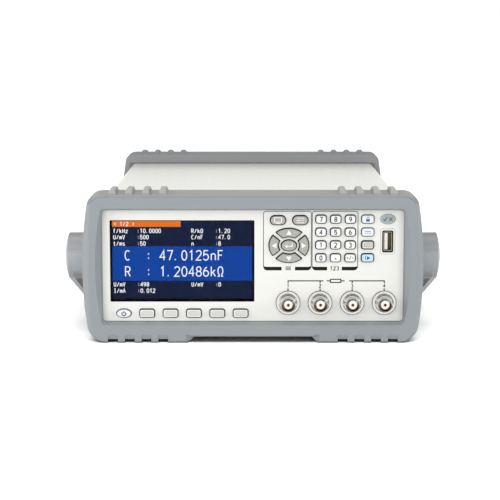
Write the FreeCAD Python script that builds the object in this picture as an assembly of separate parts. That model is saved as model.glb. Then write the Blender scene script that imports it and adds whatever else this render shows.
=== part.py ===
import FreeCAD
import Part
import math
import os

V = FreeCAD.Vector

# Frame in mm: X to the right, Y into the case, Z up, floor at z = 0.
# Depths of the panel parts are measured from the face of the front panel.
TOTAL_DEPTH = 364.5
SOCKET_REACH = 10.5
PANEL_Y = SOCKET_REACH - TOTAL_DEPTH / 2
BACK_Y = TOTAL_DEPTH / 2

# Case sleeve
CASE_HALF = 106.2
CASE_LOW = 12.0
CASE_TOP = 93.0
CASE_R = 4.0
SHEET = 1.5

# Rubber bumpers
FRONT_HALF = 117.0
REAR_HALF = 115.2
FRONT_TOP = 102.2
REAR_TOP = 101.6
FRONT_CORNER = 9.0
REAR_CORNER = 7.5
LOW_CORNER = 12.0
BOW_Z = 50.8
BUMP_DEPTH = 32.0
BUMP_BOW = 285.0
BEVEL_SIDE = 4.4
BEVEL_TOP = 1.0
BEVEL_DEEP = 7.0
FRONT_LIP = 6.0
REAR_LIP = 9.0
WINDOW_HALF = 103.0
WINDOW_LOW = 14.4
WINDOW_TOP = 91.0
WINDOW_MID = 52.7
MOUTH_SIDE = 4.6
MOUTH_BOW = 190.0
MOUTH_LOW = 2.3
MOUTH_TOP = 1.4
RIB_X = [61.5, 73.0, 84.5, 96.0]
FRONT_RIB = 2.9
REAR_RIB = 1.7
SLOT_HALF = 3.4
SLOT_HIGH = 2.5
RELIEF_TOP = 39.6
RELIEF_FOOT = 44.6
RELIEF_HIGH = 4.6

# Panel and keys
PLATE = 3.0
KEY_OUT = 1.7
KEY_GAP = 0.6
KEY_ROUND = 0.6
FLANGE_Y = 3.4
SWITCH_Y = 9.6
BOARD_Y = 13.0
SOFT_X = -72.65
SOFT_PITCH = 16.05
SOFT_Z = 19.7
POWER_X = -88.65
MENU_X = [17.1, 32.3]
MENU_Z = 84.2
NAV_X = 24.6
NAV_Z = 66.8
NAV_TILT = 39.0
DIGIT_X = 46.45
DIGIT_DX = 10.0
DIGIT_Z = 84.9
DIGIT_DZ = 8.87
FUNCTION_X = 78.35
LAMP_X = 92.1
USB_Z = 69.5
SOCKET_X = 24.1
SOCKET_DX = 22.0
SOCKET_Z = 27.0
NOSE_R = 4.85
SCREEN_X = -48.4
SCREEN_Z = 55.9
SCREEN_W = 98.9
SCREEN_H = 56.4

# Carrying handle
PIVOT_Y = PANEL_Y + 50.0
PIVOT_Z = 52.5
HUB_R = 16.5
HUB_IN = 111.4
HUB_OUT = 131.0
DOME = 2.8
ARM_IN = 127.2
ARM_OUT = 131.3
AXLE_R = 9.0
AXLE_END = 121.0
GRIP_Y = PIVOT_Y + 116.0
GRIP_Z = 6.1
GRIP_W = 22.0
GRIP_H = 8.0

# Rear panel
REAR_Y = BACK_Y - REAR_LIP
INLET_X = -78.0
INLET_Z = 41.0
DRAWER_Z = 66.5
SCREW_X = 96.0
SCREW_Z = [21.5, 84.0]


def box(x0, x1, y0, y1, z0, z1):
    return Part.makeBox(x1 - x0, y1 - y0, z1 - z0, V(x0, y0, z0))


def rod_y(x, z, r, y0, y1):
    return Part.makeCylinder(r, y1 - y0, V(x, y0, z), V(0, 1, 0))


def rod_x(y, z, r, x0, x1):
    return Part.makeCylinder(r, x1 - x0, V(x0, y, z), V(1, 0, 0))


def rod_z(x, y, r, z0, z1):
    return Part.makeCylinder(r, z1 - z0, V(x, y, z0))


def arc_edge(a, b, c):
    return Part.Arc(a, b, c).toShape()


def rounded_wire(x0, x1, z0, z1, r, y):
    k = r * (1 - math.sqrt(0.5))
    return Part.Wire([
        Part.makeLine(V(x0 + r, y, z0), V(x1 - r, y, z0)),
        arc_edge(V(x1 - r, y, z0), V(x1 - k, y, z0 + k), V(x1, y, z0 + r)),
        Part.makeLine(V(x1, y, z0 + r), V(x1, y, z1 - r)),
        arc_edge(V(x1, y, z1 - r), V(x1 - k, y, z1 - k), V(x1 - r, y, z1)),
        Part.makeLine(V(x1 - r, y, z1), V(x0 + r, y, z1)),
        arc_edge(V(x0 + r, y, z1), V(x0 + k, y, z1 - k), V(x0, y, z1 - r)),
        Part.makeLine(V(x0, y, z1 - r), V(x0, y, z0 + r)),
        arc_edge(V(x0, y, z0 + r), V(x0 + k, y, z0 + k), V(x0 + r, y, z0)),
    ])


def slab(x, z, w, h, r, y0, y1):
    wire = rounded_wire(x - w / 2, x + w / 2, z - h / 2, z + h / 2, r, y0)
    return Part.Face(wire).extrude(V(0, y1 - y0, 0))


def oval(x, z, a, b, y0, y1):
    ring = Part.Ellipse(V(x + a, y0, z), V(x, y0, z + b), V(x, y0, z))
    return Part.Face(Part.Wire([ring.toShape()])).extrude(V(0, y1 - y0, 0))


def poly_y(points, y0, y1):
    pts = [V(x, y0, z) for x, z in points]
    return Part.Face(Part.makePolygon(pts + pts[:1])).extrude(V(0, y1 - y0, 0))


def poly_x(points, x0, x1):
    pts = [V(x0, y, z) for y, z in points]
    return Part.Face(Part.makePolygon(pts + pts[:1])).extrude(V(x1 - x0, 0, 0))


def edges_at_y(shape, y):
    found = []
    for e in shape.Edges:
        b = e.BoundBox
        if abs(b.YMin - y) < 1e-4 and abs(b.YMax - y) < 1e-4:
            found.append(e)
    return found


def mirror_x(shape):
    return shape.mirror(V(0, 0, 0), V(1, 0, 0))


def both_sides(shape):
    return Part.makeCompound([shape, mirror_x(shape)])


# Bumpers: a bowed rubber frame that grips the end of the case

def corner(half, bow, r, z_edge, z_mid):
    rise = abs(z_edge - z_mid) - r
    cx = half - bow
    run = math.sqrt((bow - r) ** 2 - rise ** 2)
    kx = cx + run
    tx = cx + bow * run / (bow - r)
    tz = bow * rise / (bow - r)
    turn = math.atan2(run, rise) / 2
    return kx, tx, tz, kx + r * math.sin(turn), r - r * math.cos(turn)


def bowed_wire(y, half, bow, zm, low, r_low, top, r_top):
    kx, tx, tz, mx, mz = corner(half, bow, r_top, top, zm)
    kl, tl, dl, ml, nl = corner(half, bow, r_low, low, zm)
    return Part.Wire([
        Part.makeLine(V(-kl, y, low), V(kl, y, low)),
        arc_edge(V(kl, y, low), V(ml, y, low + nl), V(tl, y, zm - dl)),
        arc_edge(V(tl, y, zm - dl), V(half, y, zm), V(tx, y, zm + tz)),
        arc_edge(V(tx, y, zm + tz), V(mx, y, top - mz), V(kx, y, top)),
        Part.makeLine(V(kx, y, top), V(-kx, y, top)),
        arc_edge(V(-kx, y, top), V(-mx, y, top - mz), V(-tx, y, zm + tz)),
        arc_edge(V(-tx, y, zm + tz), V(-half, y, zm), V(-tl, y, zm - dl)),
        arc_edge(V(-tl, y, zm - dl), V(-ml, y, low + nl), V(-kl, y, low)),
    ])


def rib(x, base, high):
    z = base - 1.2
    top = base + high
    end = BUMP_DEPTH
    bar = poly_y([(x - 3.1, z), (x + 3.1, z), (x + 1.9, top), (x - 1.9, top)], 1.0, end)
    ridge = [e for e in bar.Edges if e.BoundBox.ZMin > top - 0.01 and e.BoundBox.YLength > 5]
    bar = bar.makeFillet(1.1, ridge)
    clear = top + 1
    front = poly_x([(0, z), (1.6, z), (6.4, top), (6.4, clear), (0, clear)], x - 4, x + 4)
    back = poly_x([(end + 1, z), (end, z), (end - 3, top), (end - 3, clear), (end + 1, clear)], x - 4, x + 4)
    return bar.cut(front).cut(back)


def rib_slot(x):
    groove = box(x - SLOT_HALF, x + SLOT_HALF, -1, BUMP_DEPTH + 1, -1, SLOT_HIGH)
    lead = [(-1, -1), (1.2, -1), (1.2, SLOT_HIGH - 0.3), (-0.02, SLOT_HIGH + 3.2), (-1, SLOT_HIGH + 3.2)]
    return groove.fuse(poly_x(lead, x - SLOT_HALF, x + SLOT_HALF))


def finger_relief():
    a, b, h = RELIEF_FOOT, RELIEF_TOP, RELIEF_HIGH
    gap = poly_y([(-a, -1), (-a, 0), (-b, h), (b, h), (a, 0), (a, -1)], -1, BUMP_DEPTH + 1)
    wires = []
    for y, bend in ((-0.01, (-a - 2.0, h + 1.6)), (2.6, (-(a + b) / 2, h / 2))):
        pts = [V(x, y, z) for x, z in ((-a, -1), (-a, 0), bend, (-b, h), (-b, -1))]
        wires.append(Part.makePolygon(pts + pts[:1]))
    scoop = Part.makeLoft(wires, True, True)
    return gap.fuse(scoop).fuse(mirror_x(scoop))


def bumper(lip, half, top, r, rib_high):
    face = bowed_wire(0, half - BEVEL_SIDE, 2 * BUMP_BOW, BOW_Z, 0, LOW_CORNER, top - BEVEL_TOP, r)
    full = bowed_wire(BEVEL_DEEP, half, BUMP_BOW, BOW_Z, 0, LOW_CORNER, top, r)
    body = Part.makeLoft([face, full], True, True)
    body = body.fuse(Part.Face(full).extrude(V(0, BUMP_DEPTH - BEVEL_DEEP, 0)))
    body = body.makeFillet(1.2, edges_at_y(body, 0))
    body = body.makeFillet(1.0, edges_at_y(body, BUMP_DEPTH))
    wide = WINDOW_HALF + MOUTH_SIDE
    low, high = WINDOW_LOW - MOUTH_LOW, WINDOW_TOP + MOUTH_TOP
    mouth = bowed_wire(-0.01, wide, MOUTH_BOW, WINDOW_MID, low, 3.0, high, 3.0)
    seat = bowed_wire(lip + 0.01, WINDOW_HALF, 100 * MOUTH_BOW, WINDOW_MID, WINDOW_LOW, 2.2, WINDOW_TOP, 2.2)
    body = body.cut(Part.makeLoft([mouth, seat], True, True))
    brim = [e for e in edges_at_y(body, 0) if abs(e.CenterOfMass.x) < wide + 0.5 and e.BoundBox.ZMin > 11]
    body = body.makeFillet(0.5, [e for e in brim if e.BoundBox.ZMax < high + 0.5])
    body = body.cut(case_profile(0, lip, BUMP_DEPTH + 1))
    body = body.cut(finger_relief())
    for x in RIB_X:
        for sx in (-x, x):
            body = body.cut(rib_slot(sx))
            body = body.fuse(rib(sx, top, rib_high))
    return body.removeSplitter()


def case_profile(inset, y0, y1):
    w = 2 * (CASE_HALF - inset)
    h = CASE_TOP - CASE_LOW - 2 * inset
    return slab(0, (CASE_LOW + CASE_TOP) / 2, w, h, CASE_R - inset, y0, y1)


def front_bumper():
    body = bumper(FRONT_LIP, FRONT_HALF, FRONT_TOP, FRONT_CORNER, FRONT_RIB)
    body.translate(V(0, PANEL_Y - FRONT_LIP, 0))
    return body


def rear_bumper():
    body = bumper(REAR_LIP, REAR_HALF, REAR_TOP, REAR_CORNER, REAR_RIB)
    body = body.mirror(V(0, 0, 0), V(0, 1, 0))
    body.translate(V(0, BACK_Y, 0))
    return body


# Case, tray and rear panel

def case_sleeve():
    y0 = PANEL_Y + PLATE
    y1 = REAR_Y - SHEET
    return case_profile(0, y0, y1).cut(case_profile(SHEET, y0 - 1, y1 + 1))


def chassis_tray():
    y0 = PANEL_Y + 18
    y1 = REAR_Y - SHEET
    low = CASE_LOW + SHEET
    tray = box(-101, 101, y0, y1, low, low + 1.5)
    for side in (-1, 1):
        x = side * 101
        tray = tray.fuse(box(min(x, x - side * 1.5), max(x, x - side * 1.5), y0, y1, low, 36))
        tab = box(min(x, x - side * 8), max(x, x - side * 8), y1 - 1.5, y1, low, 89)
        for z in SCREW_Z:
            tab = tab.cut(rod_y(side * SCREW_X, z, 1.55, y1 - 3, y1 + 1))
        tray = tray.fuse(tab)
    for x in (-88, 22):
        for y in (-120, 0, 120):
            tray = tray.fuse(rod_z(x, y, 3.0, low + 1, 23))
    return tray.removeSplitter()


def rear_panel():
    plate = case_profile(0, REAR_Y - SHEET, REAR_Y)
    a, b = REAR_Y - SHEET - 1, REAR_Y + 1
    plate = plate.cut(slab(INLET_X, 52.5, 27.4, 46.4, 2, a, b))
    plate = plate.cut(d_plan(-8, 62, 42.0, 11.0, a, b))
    plate = plate.cut(d_plan(54, 62, 20.0, 11.0, a, b))
    plate = plate.cut(rod_y(-46, 30, 2.6, a, b))
    for side in (-1, 1):
        for z in SCREW_Z:
            plate = plate.cut(rod_y(side * SCREW_X, z, 1.8, a, b))
    for i in range(9):
        plate = plate.cut(slab(-2 + 8 * i, 30, 3.0, 16.0, 1.4, a, b))
    return plate


def rear_screws():
    parts = []
    for side in (-1, 1):
        for z in SCREW_Z:
            head = rod_y(side * SCREW_X, z, 3.0, REAR_Y, REAR_Y + 2.0)
            head = head.makeFillet(0.8, edges_at_y(head, REAR_Y + 2.0))
            slot_a = box(-0.45, 0.45, REAR_Y + 0.9, REAR_Y + 3, -1.8, 1.8)
            slot_b = box(-1.8, 1.8, REAR_Y + 0.9, REAR_Y + 3, -0.45, 0.45)
            cross = slot_a.fuse(slot_b)
            cross.translate(V(side * SCREW_X, 0, z))
            shank = rod_y(side * SCREW_X, z, 1.5, REAR_Y - 7, REAR_Y)
            parts.append(head.cut(cross).fuse(shank))
    return Part.makeCompound(parts)


# Mains inlet with fuse drawer, interface ports, ground post

def inlet_mouth(grow, y0, y1):
    w, h, c = 12.2 + grow, 8.4 + grow, 5.0
    x, z = INLET_X, INLET_Z
    pts = [(x - w, z - h), (x + w, z - h), (x + w, z + h - c), (x + w - c, z + h),
           (x - w + c, z + h), (x - w, z + h - c)]
    return poly_y(pts, y0, y1)


def ac_inlet():
    face = REAR_Y + 2.0
    flange = slab(INLET_X, 52.5, 32, 52, 3, REAR_Y, face)
    flange = flange.makeFillet(0.8, edges_at_y(flange, face))
    body = flange.fuse(slab(INLET_X, 52.5, 26.8, 45.8, 2, face - 24, face - 1))
    body = body.cut(inlet_mouth(0, face - 16, face + 1))
    body = body.cut(slab(INLET_X, DRAWER_Z, 22.0, 11.6, 1.0, face - 22, face + 1))
    for dx, dz in ((-7, -2), (7, -2), (0, 2)):
        x, z = INLET_X + dx, INLET_Z + dz
        body = body.cut(box(x - 1, x + 1, face - 30, face - 10, z - 2, z + 2))
    return body.removeSplitter()


def inlet_pins():
    face = REAR_Y + 2.0
    pins = []
    for dx, dz in ((-7, -2), (7, -2), (0, 2)):
        x, z = INLET_X + dx, INLET_Z + dz
        blade = box(x - 1, x + 1, face - 30, face - 5, z - 2, z + 2)
        pins.append(blade.makeChamfer(0.5, edges_at_y(blade, face - 5)))
    return Part.makeCompound(pins)


def fuse_drawer():
    face = REAR_Y + 2.0
    drawer = slab(INLET_X, DRAWER_Z, 21.3, 10.9, 0.8, face - 20, face + 0.4)
    drawer = drawer.cut(box(INLET_X - 9, INLET_X + 9, face - 18, face - 3, DRAWER_Z - 3.4, DRAWER_Z + 8))
    notch = box(INLET_X - 4, INLET_X + 4, face - 1.0, face + 1, DRAWER_Z - 6, DRAWER_Z - 3.2)
    return drawer.cut(notch)


def d_plan(x, z, w, h, y0, y1):
    a, b = w / 2, h / 2
    pts = [(x - a + 1.4, z - b), (x + a - 1.4, z - b), (x + a, z + b), (x - a, z + b)]
    solid = poly_y(pts, y0, y1)
    return solid.makeFillet(1.6, [e for e in solid.Edges if e.BoundBox.YLength > abs(y1 - y0) - 0.01])


def d_port(x, shell_w, flange_w, pins):
    z = 62
    port = slab(x, z, flange_w, 12.5, 1.5, REAR_Y, REAR_Y + 1.0)
    port = port.fuse(d_plan(x, z, shell_w + 2.0, 10.0, REAR_Y - 10, REAR_Y + 0.5))
    shell = d_plan(x, z, shell_w, 8.3, REAR_Y + 0.5, REAR_Y + 6.4)
    port = port.fuse(shell.makeFillet(0.4, edges_at_y(shell, REAR_Y + 6.4)))
    for row, count, dz in ((0, pins // 2 + 1, 1.42), (1, pins // 2, -1.42)):
        for i in range(count):
            px = x + (i - (count - 1) / 2) * 2.76
            port = port.cut(rod_y(px, z + dz, 0.55, REAR_Y + 2, REAR_Y + 8))
    for side in (-1, 1):
        nut = slab(x + side * (flange_w / 2 - 3.1), z, 4.8, 4.8, 1.4, REAR_Y + 0.5, REAR_Y + 5.5)
        nut = nut.cut(rod_y(x + side * (flange_w / 2 - 3.1), z, 1.4, REAR_Y + 1.5, REAR_Y + 8))
        port = port.fuse(nut)
    return port.removeSplitter()


def handler_port():
    return d_port(-8, 38.6, 53.0, 25)


def serial_port():
    return d_port(54, 16.6, 31.0, 9)


def ground_post():
    stud = rod_y(-46, 30, 2.5, REAR_Y - 9, REAR_Y + 8.2)
    base = rod_y(-46, 30, 5.4, REAR_Y, REAR_Y + 1.6)
    knob = rod_y(-46, 30, 4.6, REAR_Y + 2.0, REAR_Y + 7.0)
    for i in range(18):
        a = math.radians(20 * i)
        knob = knob.cut(rod_y(-46 + 4.7 * math.cos(a), 30 + 4.7 * math.sin(a), 0.42, REAR_Y, REAR_Y + 9))
    return stud.fuse(base).fuse(knob).removeSplitter()


# Keys: each plan gives the outline of its hole, grown or shrunk by g

def round_plan(x, z, w, h, r):
    def plan(g, y0, y1):
        return slab(x, z, w + 2 * g, h + 2 * g, max(r + g, 0.3), y0, y1)
    return plan


def oval_plan(x, z, a, b):
    def plan(g, y0, y1):
        return oval(x, z, a + g, b + g, y0, y1)
    return plan


def arrow_plan(turn):
    def plan(g, y0, y1):
        ring = oval(NAV_X, NAV_Z, 14.1 + g, 12.3 + g, y0, y1)
        ring = ring.cut(oval(NAV_X, NAV_Z, 6.9 - g, 5.5 - g, y0 - 1, y1 + 1))
        for tilt in (NAV_TILT, -NAV_TILT):
            bar = box(-20, 20, y0 - 1, y1 + 1, -0.95 + g, 0.95 - g)
            bar.rotate(V(0, 0, 0), V(0, 1, 0), tilt)
            bar.translate(V(NAV_X, 0, NAV_Z))
            ring = ring.cut(bar)
        aim = V(math.sin(math.radians(turn)), 0, math.cos(math.radians(turn)))
        centre = V(NAV_X, 0, NAV_Z)
        picked = max(ring.Solids, key=lambda s: (s.CenterOfMass - centre).dot(aim))
        tall = [e for e in picked.Edges if e.BoundBox.YLength > abs(y1 - y0) - 0.01]
        return picked.makeFillet(0.7, tall)
    return plan


def key_plans():
    plans = {"power_key": (POWER_X, SOFT_Z, oval_plan(POWER_X, SOFT_Z, 5.4, 3.4))}
    for i in range(5):
        x = SOFT_X + SOFT_PITCH * i
        plans["soft_key_%d" % (i + 1)] = (x, SOFT_Z, round_plan(x, SOFT_Z, 11.0, 6.7, 1.9))
    for name, x in zip(("display_key", "setup_key"), MENU_X):
        plans[name] = (x, MENU_Z, round_plan(x, MENU_Z, 11.4, 7.2, 3.55))
    for name, turn in (("arrow_up", 0), ("arrow_right", 90), ("arrow_down", 180), ("arrow_left", 270)):
        x = NAV_X + 10.4 * math.sin(math.radians(turn))
        z = NAV_Z + 8.9 * math.cos(math.radians(turn))
        plans[name] = (x, z, arrow_plan(turn))
    plans["enter_key"] = (NAV_X, NAV_Z, oval_plan(NAV_X, NAV_Z, 5.7, 4.3))
    rows = (("7", "8", "9"), ("4", "5", "6"), ("1", "2", "3"), ("0", "point", "sign"))
    for r, row in enumerate(rows):
        for c, sign in enumerate(row):
            x, z = DIGIT_X + DIGIT_DX * c, DIGIT_Z - DIGIT_DZ * r
            plans["key_" + sign] = (x, z, round_plan(x, z, 8.0, 6.5, 2.1))
    for r, name in enumerate(("lock_key", "bias_key", "keyboard_key", "trigger_key")):
        z = DIGIT_Z - DIGIT_DZ * r
        plans[name] = (FUNCTION_X, z, round_plan(FUNCTION_X, z, 9.3, 6.5, 2.1))
    return plans


def key(x, z, plan):
    front = PANEL_Y - KEY_OUT
    cap = plan(-KEY_GAP, front, PANEL_Y + FLANGE_Y + 0.5)
    cap = cap.makeFillet(KEY_ROUND, edges_at_y(cap, front))
    flange = plan(0.3, PANEL_Y + FLANGE_Y, PANEL_Y + FLANGE_Y + 1.0)
    stem = rod_y(x, z, 1.6, PANEL_Y + FLANGE_Y + 0.5, PANEL_Y + SWITCH_Y + 0.4)
    return cap.fuse(flange).fuse(stem).removeSplitter()


def key_switches(plans):
    bodies = []
    for x, z, plan in plans.values():
        body = box(x - 2.4, x + 2.4, PANEL_Y + SWITCH_Y, PANEL_Y + BOARD_Y, z - 2.4, z + 2.4)
        bodies.append(body.cut(rod_y(x, z, 1.8, PANEL_Y + SWITCH_Y - 1, PANEL_Y + SWITCH_Y + 2.2)))
    return Part.makeCompound(bodies)


# Front panel and what it carries

def front_panel(plans):
    a, b = PANEL_Y - 1, PANEL_Y + PLATE + 1
    panel = case_profile(0, PANEL_Y, PANEL_Y + PLATE)
    rim = case_profile(SHEET + 0.2, PANEL_Y + PLATE - 0.5, PANEL_Y + 14)
    rim = rim.cut(case_profile(SHEET + 2.2, PANEL_Y, PANEL_Y + 16))
    panel = panel.fuse(rim)
    panel = panel.cut(slab(SCREEN_X, SCREEN_Z, SCREEN_W, SCREEN_H, 0.8, a, b))
    panel = panel.cut(slab(SCREEN_X, SCREEN_Z, 102.8, 59.8, 1.0, PANEL_Y + 1.3, b))
    panel = panel.cut(oval(LAMP_X, DIGIT_Z, 5.3, 3.65, a, b))
    panel = panel.cut(slab(LAMP_X, USB_Z, 7.6, 15.2, 1.1, a, b))
    for i in range(4):
        panel = panel.cut(rod_y(SOCKET_X + SOCKET_DX * i, SOCKET_Z, 6.5, a, b))
    surround = slab(LAMP_X, USB_Z, 10.2, 18.0, 2.2, PANEL_Y - 1, PANEL_Y + 0.12)
    panel = panel.cut(surround.cut(slab(LAMP_X, USB_Z, 9.4, 17.2, 1.8, PANEL_Y - 2, PANEL_Y + 1)))
    for x, z, plan in plans.values():
        panel = panel.cut(plan(0, a, b))
    for x in (-102, 6.5, 102):
        for z in (30.0, 84.0):
            panel = panel.fuse(rod_y(x, z, 2.2, PANEL_Y + PLATE - 0.5, PANEL_Y + BOARD_Y))
    return panel.removeSplitter()


def display_window():
    return slab(SCREEN_X, SCREEN_Z, 102.4, 59.4, 0.8, PANEL_Y + 1.3, PANEL_Y + 2.7)


def display_module():
    frame = slab(SCREEN_X, SCREEN_Z, 102.4, 60.0, 1.0, PANEL_Y + 3.0, PANEL_Y + 6.6)
    glass = slab(SCREEN_X, SCREEN_Z, 96.4, 55.0, 0.3, PANEL_Y + 2.8, PANEL_Y + 3.2)
    return frame.fuse(glass)


def keypad_board():
    board = box(-101.5, 101.5, PANEL_Y + BOARD_Y, PANEL_Y + BOARD_Y + 1.6, 16.4, 88.6)
    return board.cut(box(-90, -6, PANEL_Y, PANEL_Y + 30, 30, 70))


def status_lamp():
    lens = oval(LAMP_X, DIGIT_Z, 5.2, 3.55, PANEL_Y - 0.6, PANEL_Y + 4)
    lens = lens.makeFillet(0.45, edges_at_y(lens, PANEL_Y - 0.6))
    return lens.fuse(oval(LAMP_X, DIGIT_Z, 6.0, 4.3, PANEL_Y + PLATE, PANEL_Y + 4.6))


def usb_shell():
    y0, y1 = PANEL_Y + 0.6, PANEL_Y + BOARD_Y
    shell = slab(LAMP_X, USB_Z, 5.8, 13.2, 0.7, y0, y1)
    shell = shell.cut(slab(LAMP_X, USB_Z, 5.12, 12.5, 0.4, y0 - 1, y1 + 1))
    wall = LAMP_X + 2.7
    spring = [(wall, y0 + 1.0), (wall - 0.75, y0 + 2.6), (wall - 0.75, y0 + 3.4), (wall, y0 + 5.0)]
    for z in (USB_Z + 3.8, USB_Z - 2.5):
        pts = [V(x, y, z - 0.7) for x, y in spring]
        shell = shell.fuse(Part.Face(Part.makePolygon(pts + pts[:1])).extrude(V(0, 0, 1.4)))
    return shell.removeSplitter()


def usb_insulator():
    block = box(LAMP_X - 2.45, LAMP_X + 2.45, PANEL_Y + 10.4, PANEL_Y + 12.8, USB_Z - 6.15, USB_Z + 6.15)
    tongue = box(LAMP_X - 2.15, LAMP_X - 0.05, PANEL_Y + 1.6, PANEL_Y + 11, USB_Z - 5.7, USB_Z + 5.7)
    return block.fuse(tongue).removeSplitter()


def socket_shell(x):
    z = SOCKET_Z
    nose = SOCKET_REACH - 2.4
    outline = [(2.6, -9), (6.35, -9), (6.35, 0), (8.4, 0), (8.4, 0.5), (8.2, 0.75), (6.6, 0.75), (6.45, 2.2),
               (5.9, 2.7), (5.7, 3.4), (5.2, 3.8), (NOSE_R - 0.35, 3.9), (NOSE_R - 0.35, nose),
               (NOSE_R, nose), (NOSE_R, SOCKET_REACH), (NOSE_R - 0.12, SOCKET_REACH),
               (4.1, SOCKET_REACH - 0.9), (4.1, 1.5), (2.6, 1.5)]
    pts = [V(x + r, PANEL_Y - out, z) for r, out in outline]
    profile = Part.Face(Part.makePolygon(pts + pts[:1]))
    shell = profile.revolve(V(x, 0, z), V(0, 1, 0), 360)
    for side in (-1, 1):
        lug = rod_x(PANEL_Y - 7.0, z, 1.0, min(side * 4.2, side * 5.9), max(side * 4.2, side * 5.9))
        lug.translate(V(x, 0, 0))
        shell = shell.fuse(lug)
    return shell.removeSplitter()


def socket_insulator(x):
    core = rod_y(x, SOCKET_Z, 2.6, PANEL_Y - 2, PANEL_Y + 10)
    core = core.fuse(rod_y(x, SOCKET_Z, 3.1, PANEL_Y - SOCKET_REACH + 0.9, PANEL_Y - 1.55))
    return core.cut(rod_y(x, SOCKET_Z, 1.1, PANEL_Y - SOCKET_REACH, PANEL_Y + 11))


def socket_contact(x):
    pin = rod_y(x, SOCKET_Z, 1.1, PANEL_Y - SOCKET_REACH + 1.2, PANEL_Y + 12)
    return pin.cut(rod_y(x, SOCKET_Z, 0.55, PANEL_Y - SOCKET_REACH, PANEL_Y - 4))


def socket_nut(x):
    pts = []
    for i in range(6):
        a = math.radians(60 * i)
        pts.append((x + 8.6 * math.cos(a), SOCKET_Z + 8.6 * math.sin(a)))
    nut = poly_y(pts, PANEL_Y + PLATE, PANEL_Y + PLATE + 2.6)
    return nut.cut(rod_y(x, SOCKET_Z, 6.35, PANEL_Y, PANEL_Y + 9))


def at_sockets(make):
    return Part.makeCompound([make(SOCKET_X + SOCKET_DX * i) for i in range(4)])


# Handle: two blade arms on round hubs, joined by a flat grip

def tangent(c1, r1, c2, r2, side):
    dy, dz = c2[0] - c1[0], c2[1] - c1[1]
    gap = math.hypot(dy, dz)
    ang = math.atan2(dz, dy) + side * math.acos((r1 - r2) / gap)
    n = (math.cos(ang), math.sin(ang))
    a = V(0, c1[0] + r1 * n[0], c1[1] + r1 * n[1])
    b = V(0, c2[0] + r2 * n[0], c2[1] + r2 * n[1])
    return a, b


def arm_blade():
    hub = (PIVOT_Y, PIVOT_Z)
    r = GRIP_H / 2
    near = (GRIP_Y - GRIP_W / 2 + r, GRIP_Z)
    far = (GRIP_Y + GRIP_W / 2 - r, GRIP_Z)
    h1, n1 = tangent(hub, HUB_R, near, r, -1)
    h2, f1 = tangent(hub, HUB_R, far, r, 1)
    n2 = V(0, near[0], GRIP_Z - r)
    f2 = V(0, far[0], GRIP_Z - r)
    nm = V(0, near[0] + r * math.cos(-1.72), GRIP_Z + r * math.sin(-1.72))
    fm = V(0, far[0] + r, GRIP_Z)
    hm = V(0, PIVOT_Y - HUB_R, PIVOT_Z)
    wire = Part.Wire([
        Part.makeLine(h1, n1), arc_edge(n1, nm, n2), Part.makeLine(n2, f2),
        arc_edge(f2, fm, f1), Part.makeLine(f1, h2), arc_edge(h2, hm, h1)])
    blade = Part.Face(wire).extrude(V(ARM_OUT - ARM_IN, 0, 0))
    blade.translate(V(ARM_IN, 0, 0))
    return blade.makeFillet(0.8, [e for e in blade.Edges if e.BoundBox.XMin > ARM_OUT - 0.01])


def handle_arm():
    radius = (HUB_R ** 2 + DOME ** 2) / (2 * DOME)
    hub = rod_x(PIVOT_Y, PIVOT_Z, HUB_R, HUB_IN, HUB_OUT + DOME)
    ball = Part.makeSphere(radius, V(HUB_OUT + DOME - radius, PIVOT_Y, PIVOT_Z))
    hub = hub.common(ball)
    rim = [e for e in hub.Edges if e.BoundBox.XMin > HUB_OUT - 0.1 and e.BoundBox.ZLength > HUB_R]
    arm = hub.makeFillet(1.0, rim).fuse(arm_blade())
    edge = PIVOT_Y - HUB_R
    arm = arm.cut(box(HUB_OUT - 8, HUB_OUT + 9, edge - 2, edge + 1.4, PIVOT_Z + 5.9, PIVOT_Z + 6.4))
    arm = arm.cut(rod_x(PIVOT_Y, PIVOT_Z, AXLE_R + 0.08, HUB_IN - 1, AXLE_END + 0.4))
    return arm.removeSplitter()


def handle_grip():
    r = GRIP_H / 2
    flat = box(-ARM_IN, ARM_IN, GRIP_Y - GRIP_W / 2 + r, GRIP_Y + GRIP_W / 2 - r, GRIP_Z - r, GRIP_Z + r)
    for side in (-1, 1):
        flat = flat.fuse(rod_x(GRIP_Y + side * (GRIP_W / 2 - r), GRIP_Z, r, -ARM_IN, ARM_IN))
    return flat.removeSplitter()


def pivot_bosses():
    boss = rod_x(PIVOT_Y, PIVOT_Z, 14.0, CASE_HALF, HUB_IN - 0.4)
    boss = boss.fuse(rod_x(PIVOT_Y, PIVOT_Z, AXLE_R, CASE_HALF + 1, AXLE_END))
    return both_sides(boss.removeSplitter())


# Electronics on the tray

def main_board():
    board = box(-98, 32, -135, 135, 23, 24.6)
    for x in (-70, -50, -30, -10, 10):
        board = board.fuse(box(x, x + 12, 40, 52, 24.6, 26.4))
        board = board.fuse(rod_z(x + 5, 90, 4.0, 24.6, 36))
    return board.removeSplitter()


def shield_can():
    can = box(-92, 4, -128, -10, 24.6, 44)
    return can.cut(box(-91.2, 3.2, -127.2, -10.8, 24, 43.2))


def power_supply():
    bracket = box(42, 98, 20, 150, 15, 16.5).fuse(box(42, 43.5, 20, 150, 15, 48)).removeSplitter()
    board = box(46, 97, 24, 146, 21, 22.6)
    core = box(54, 84, 60, 96, 22.6, 48)
    for x in (52, 90):
        for y in (30, 140):
            board = board.fuse(rod_z(x, y, 2.5, 16.5, 21))
    for y in (112, 128):
        board = board.fuse(rod_z(66, y, 7, 22.6, 46))
    return Part.makeCompound([bracket, board.fuse(core).removeSplitter()])


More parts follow.
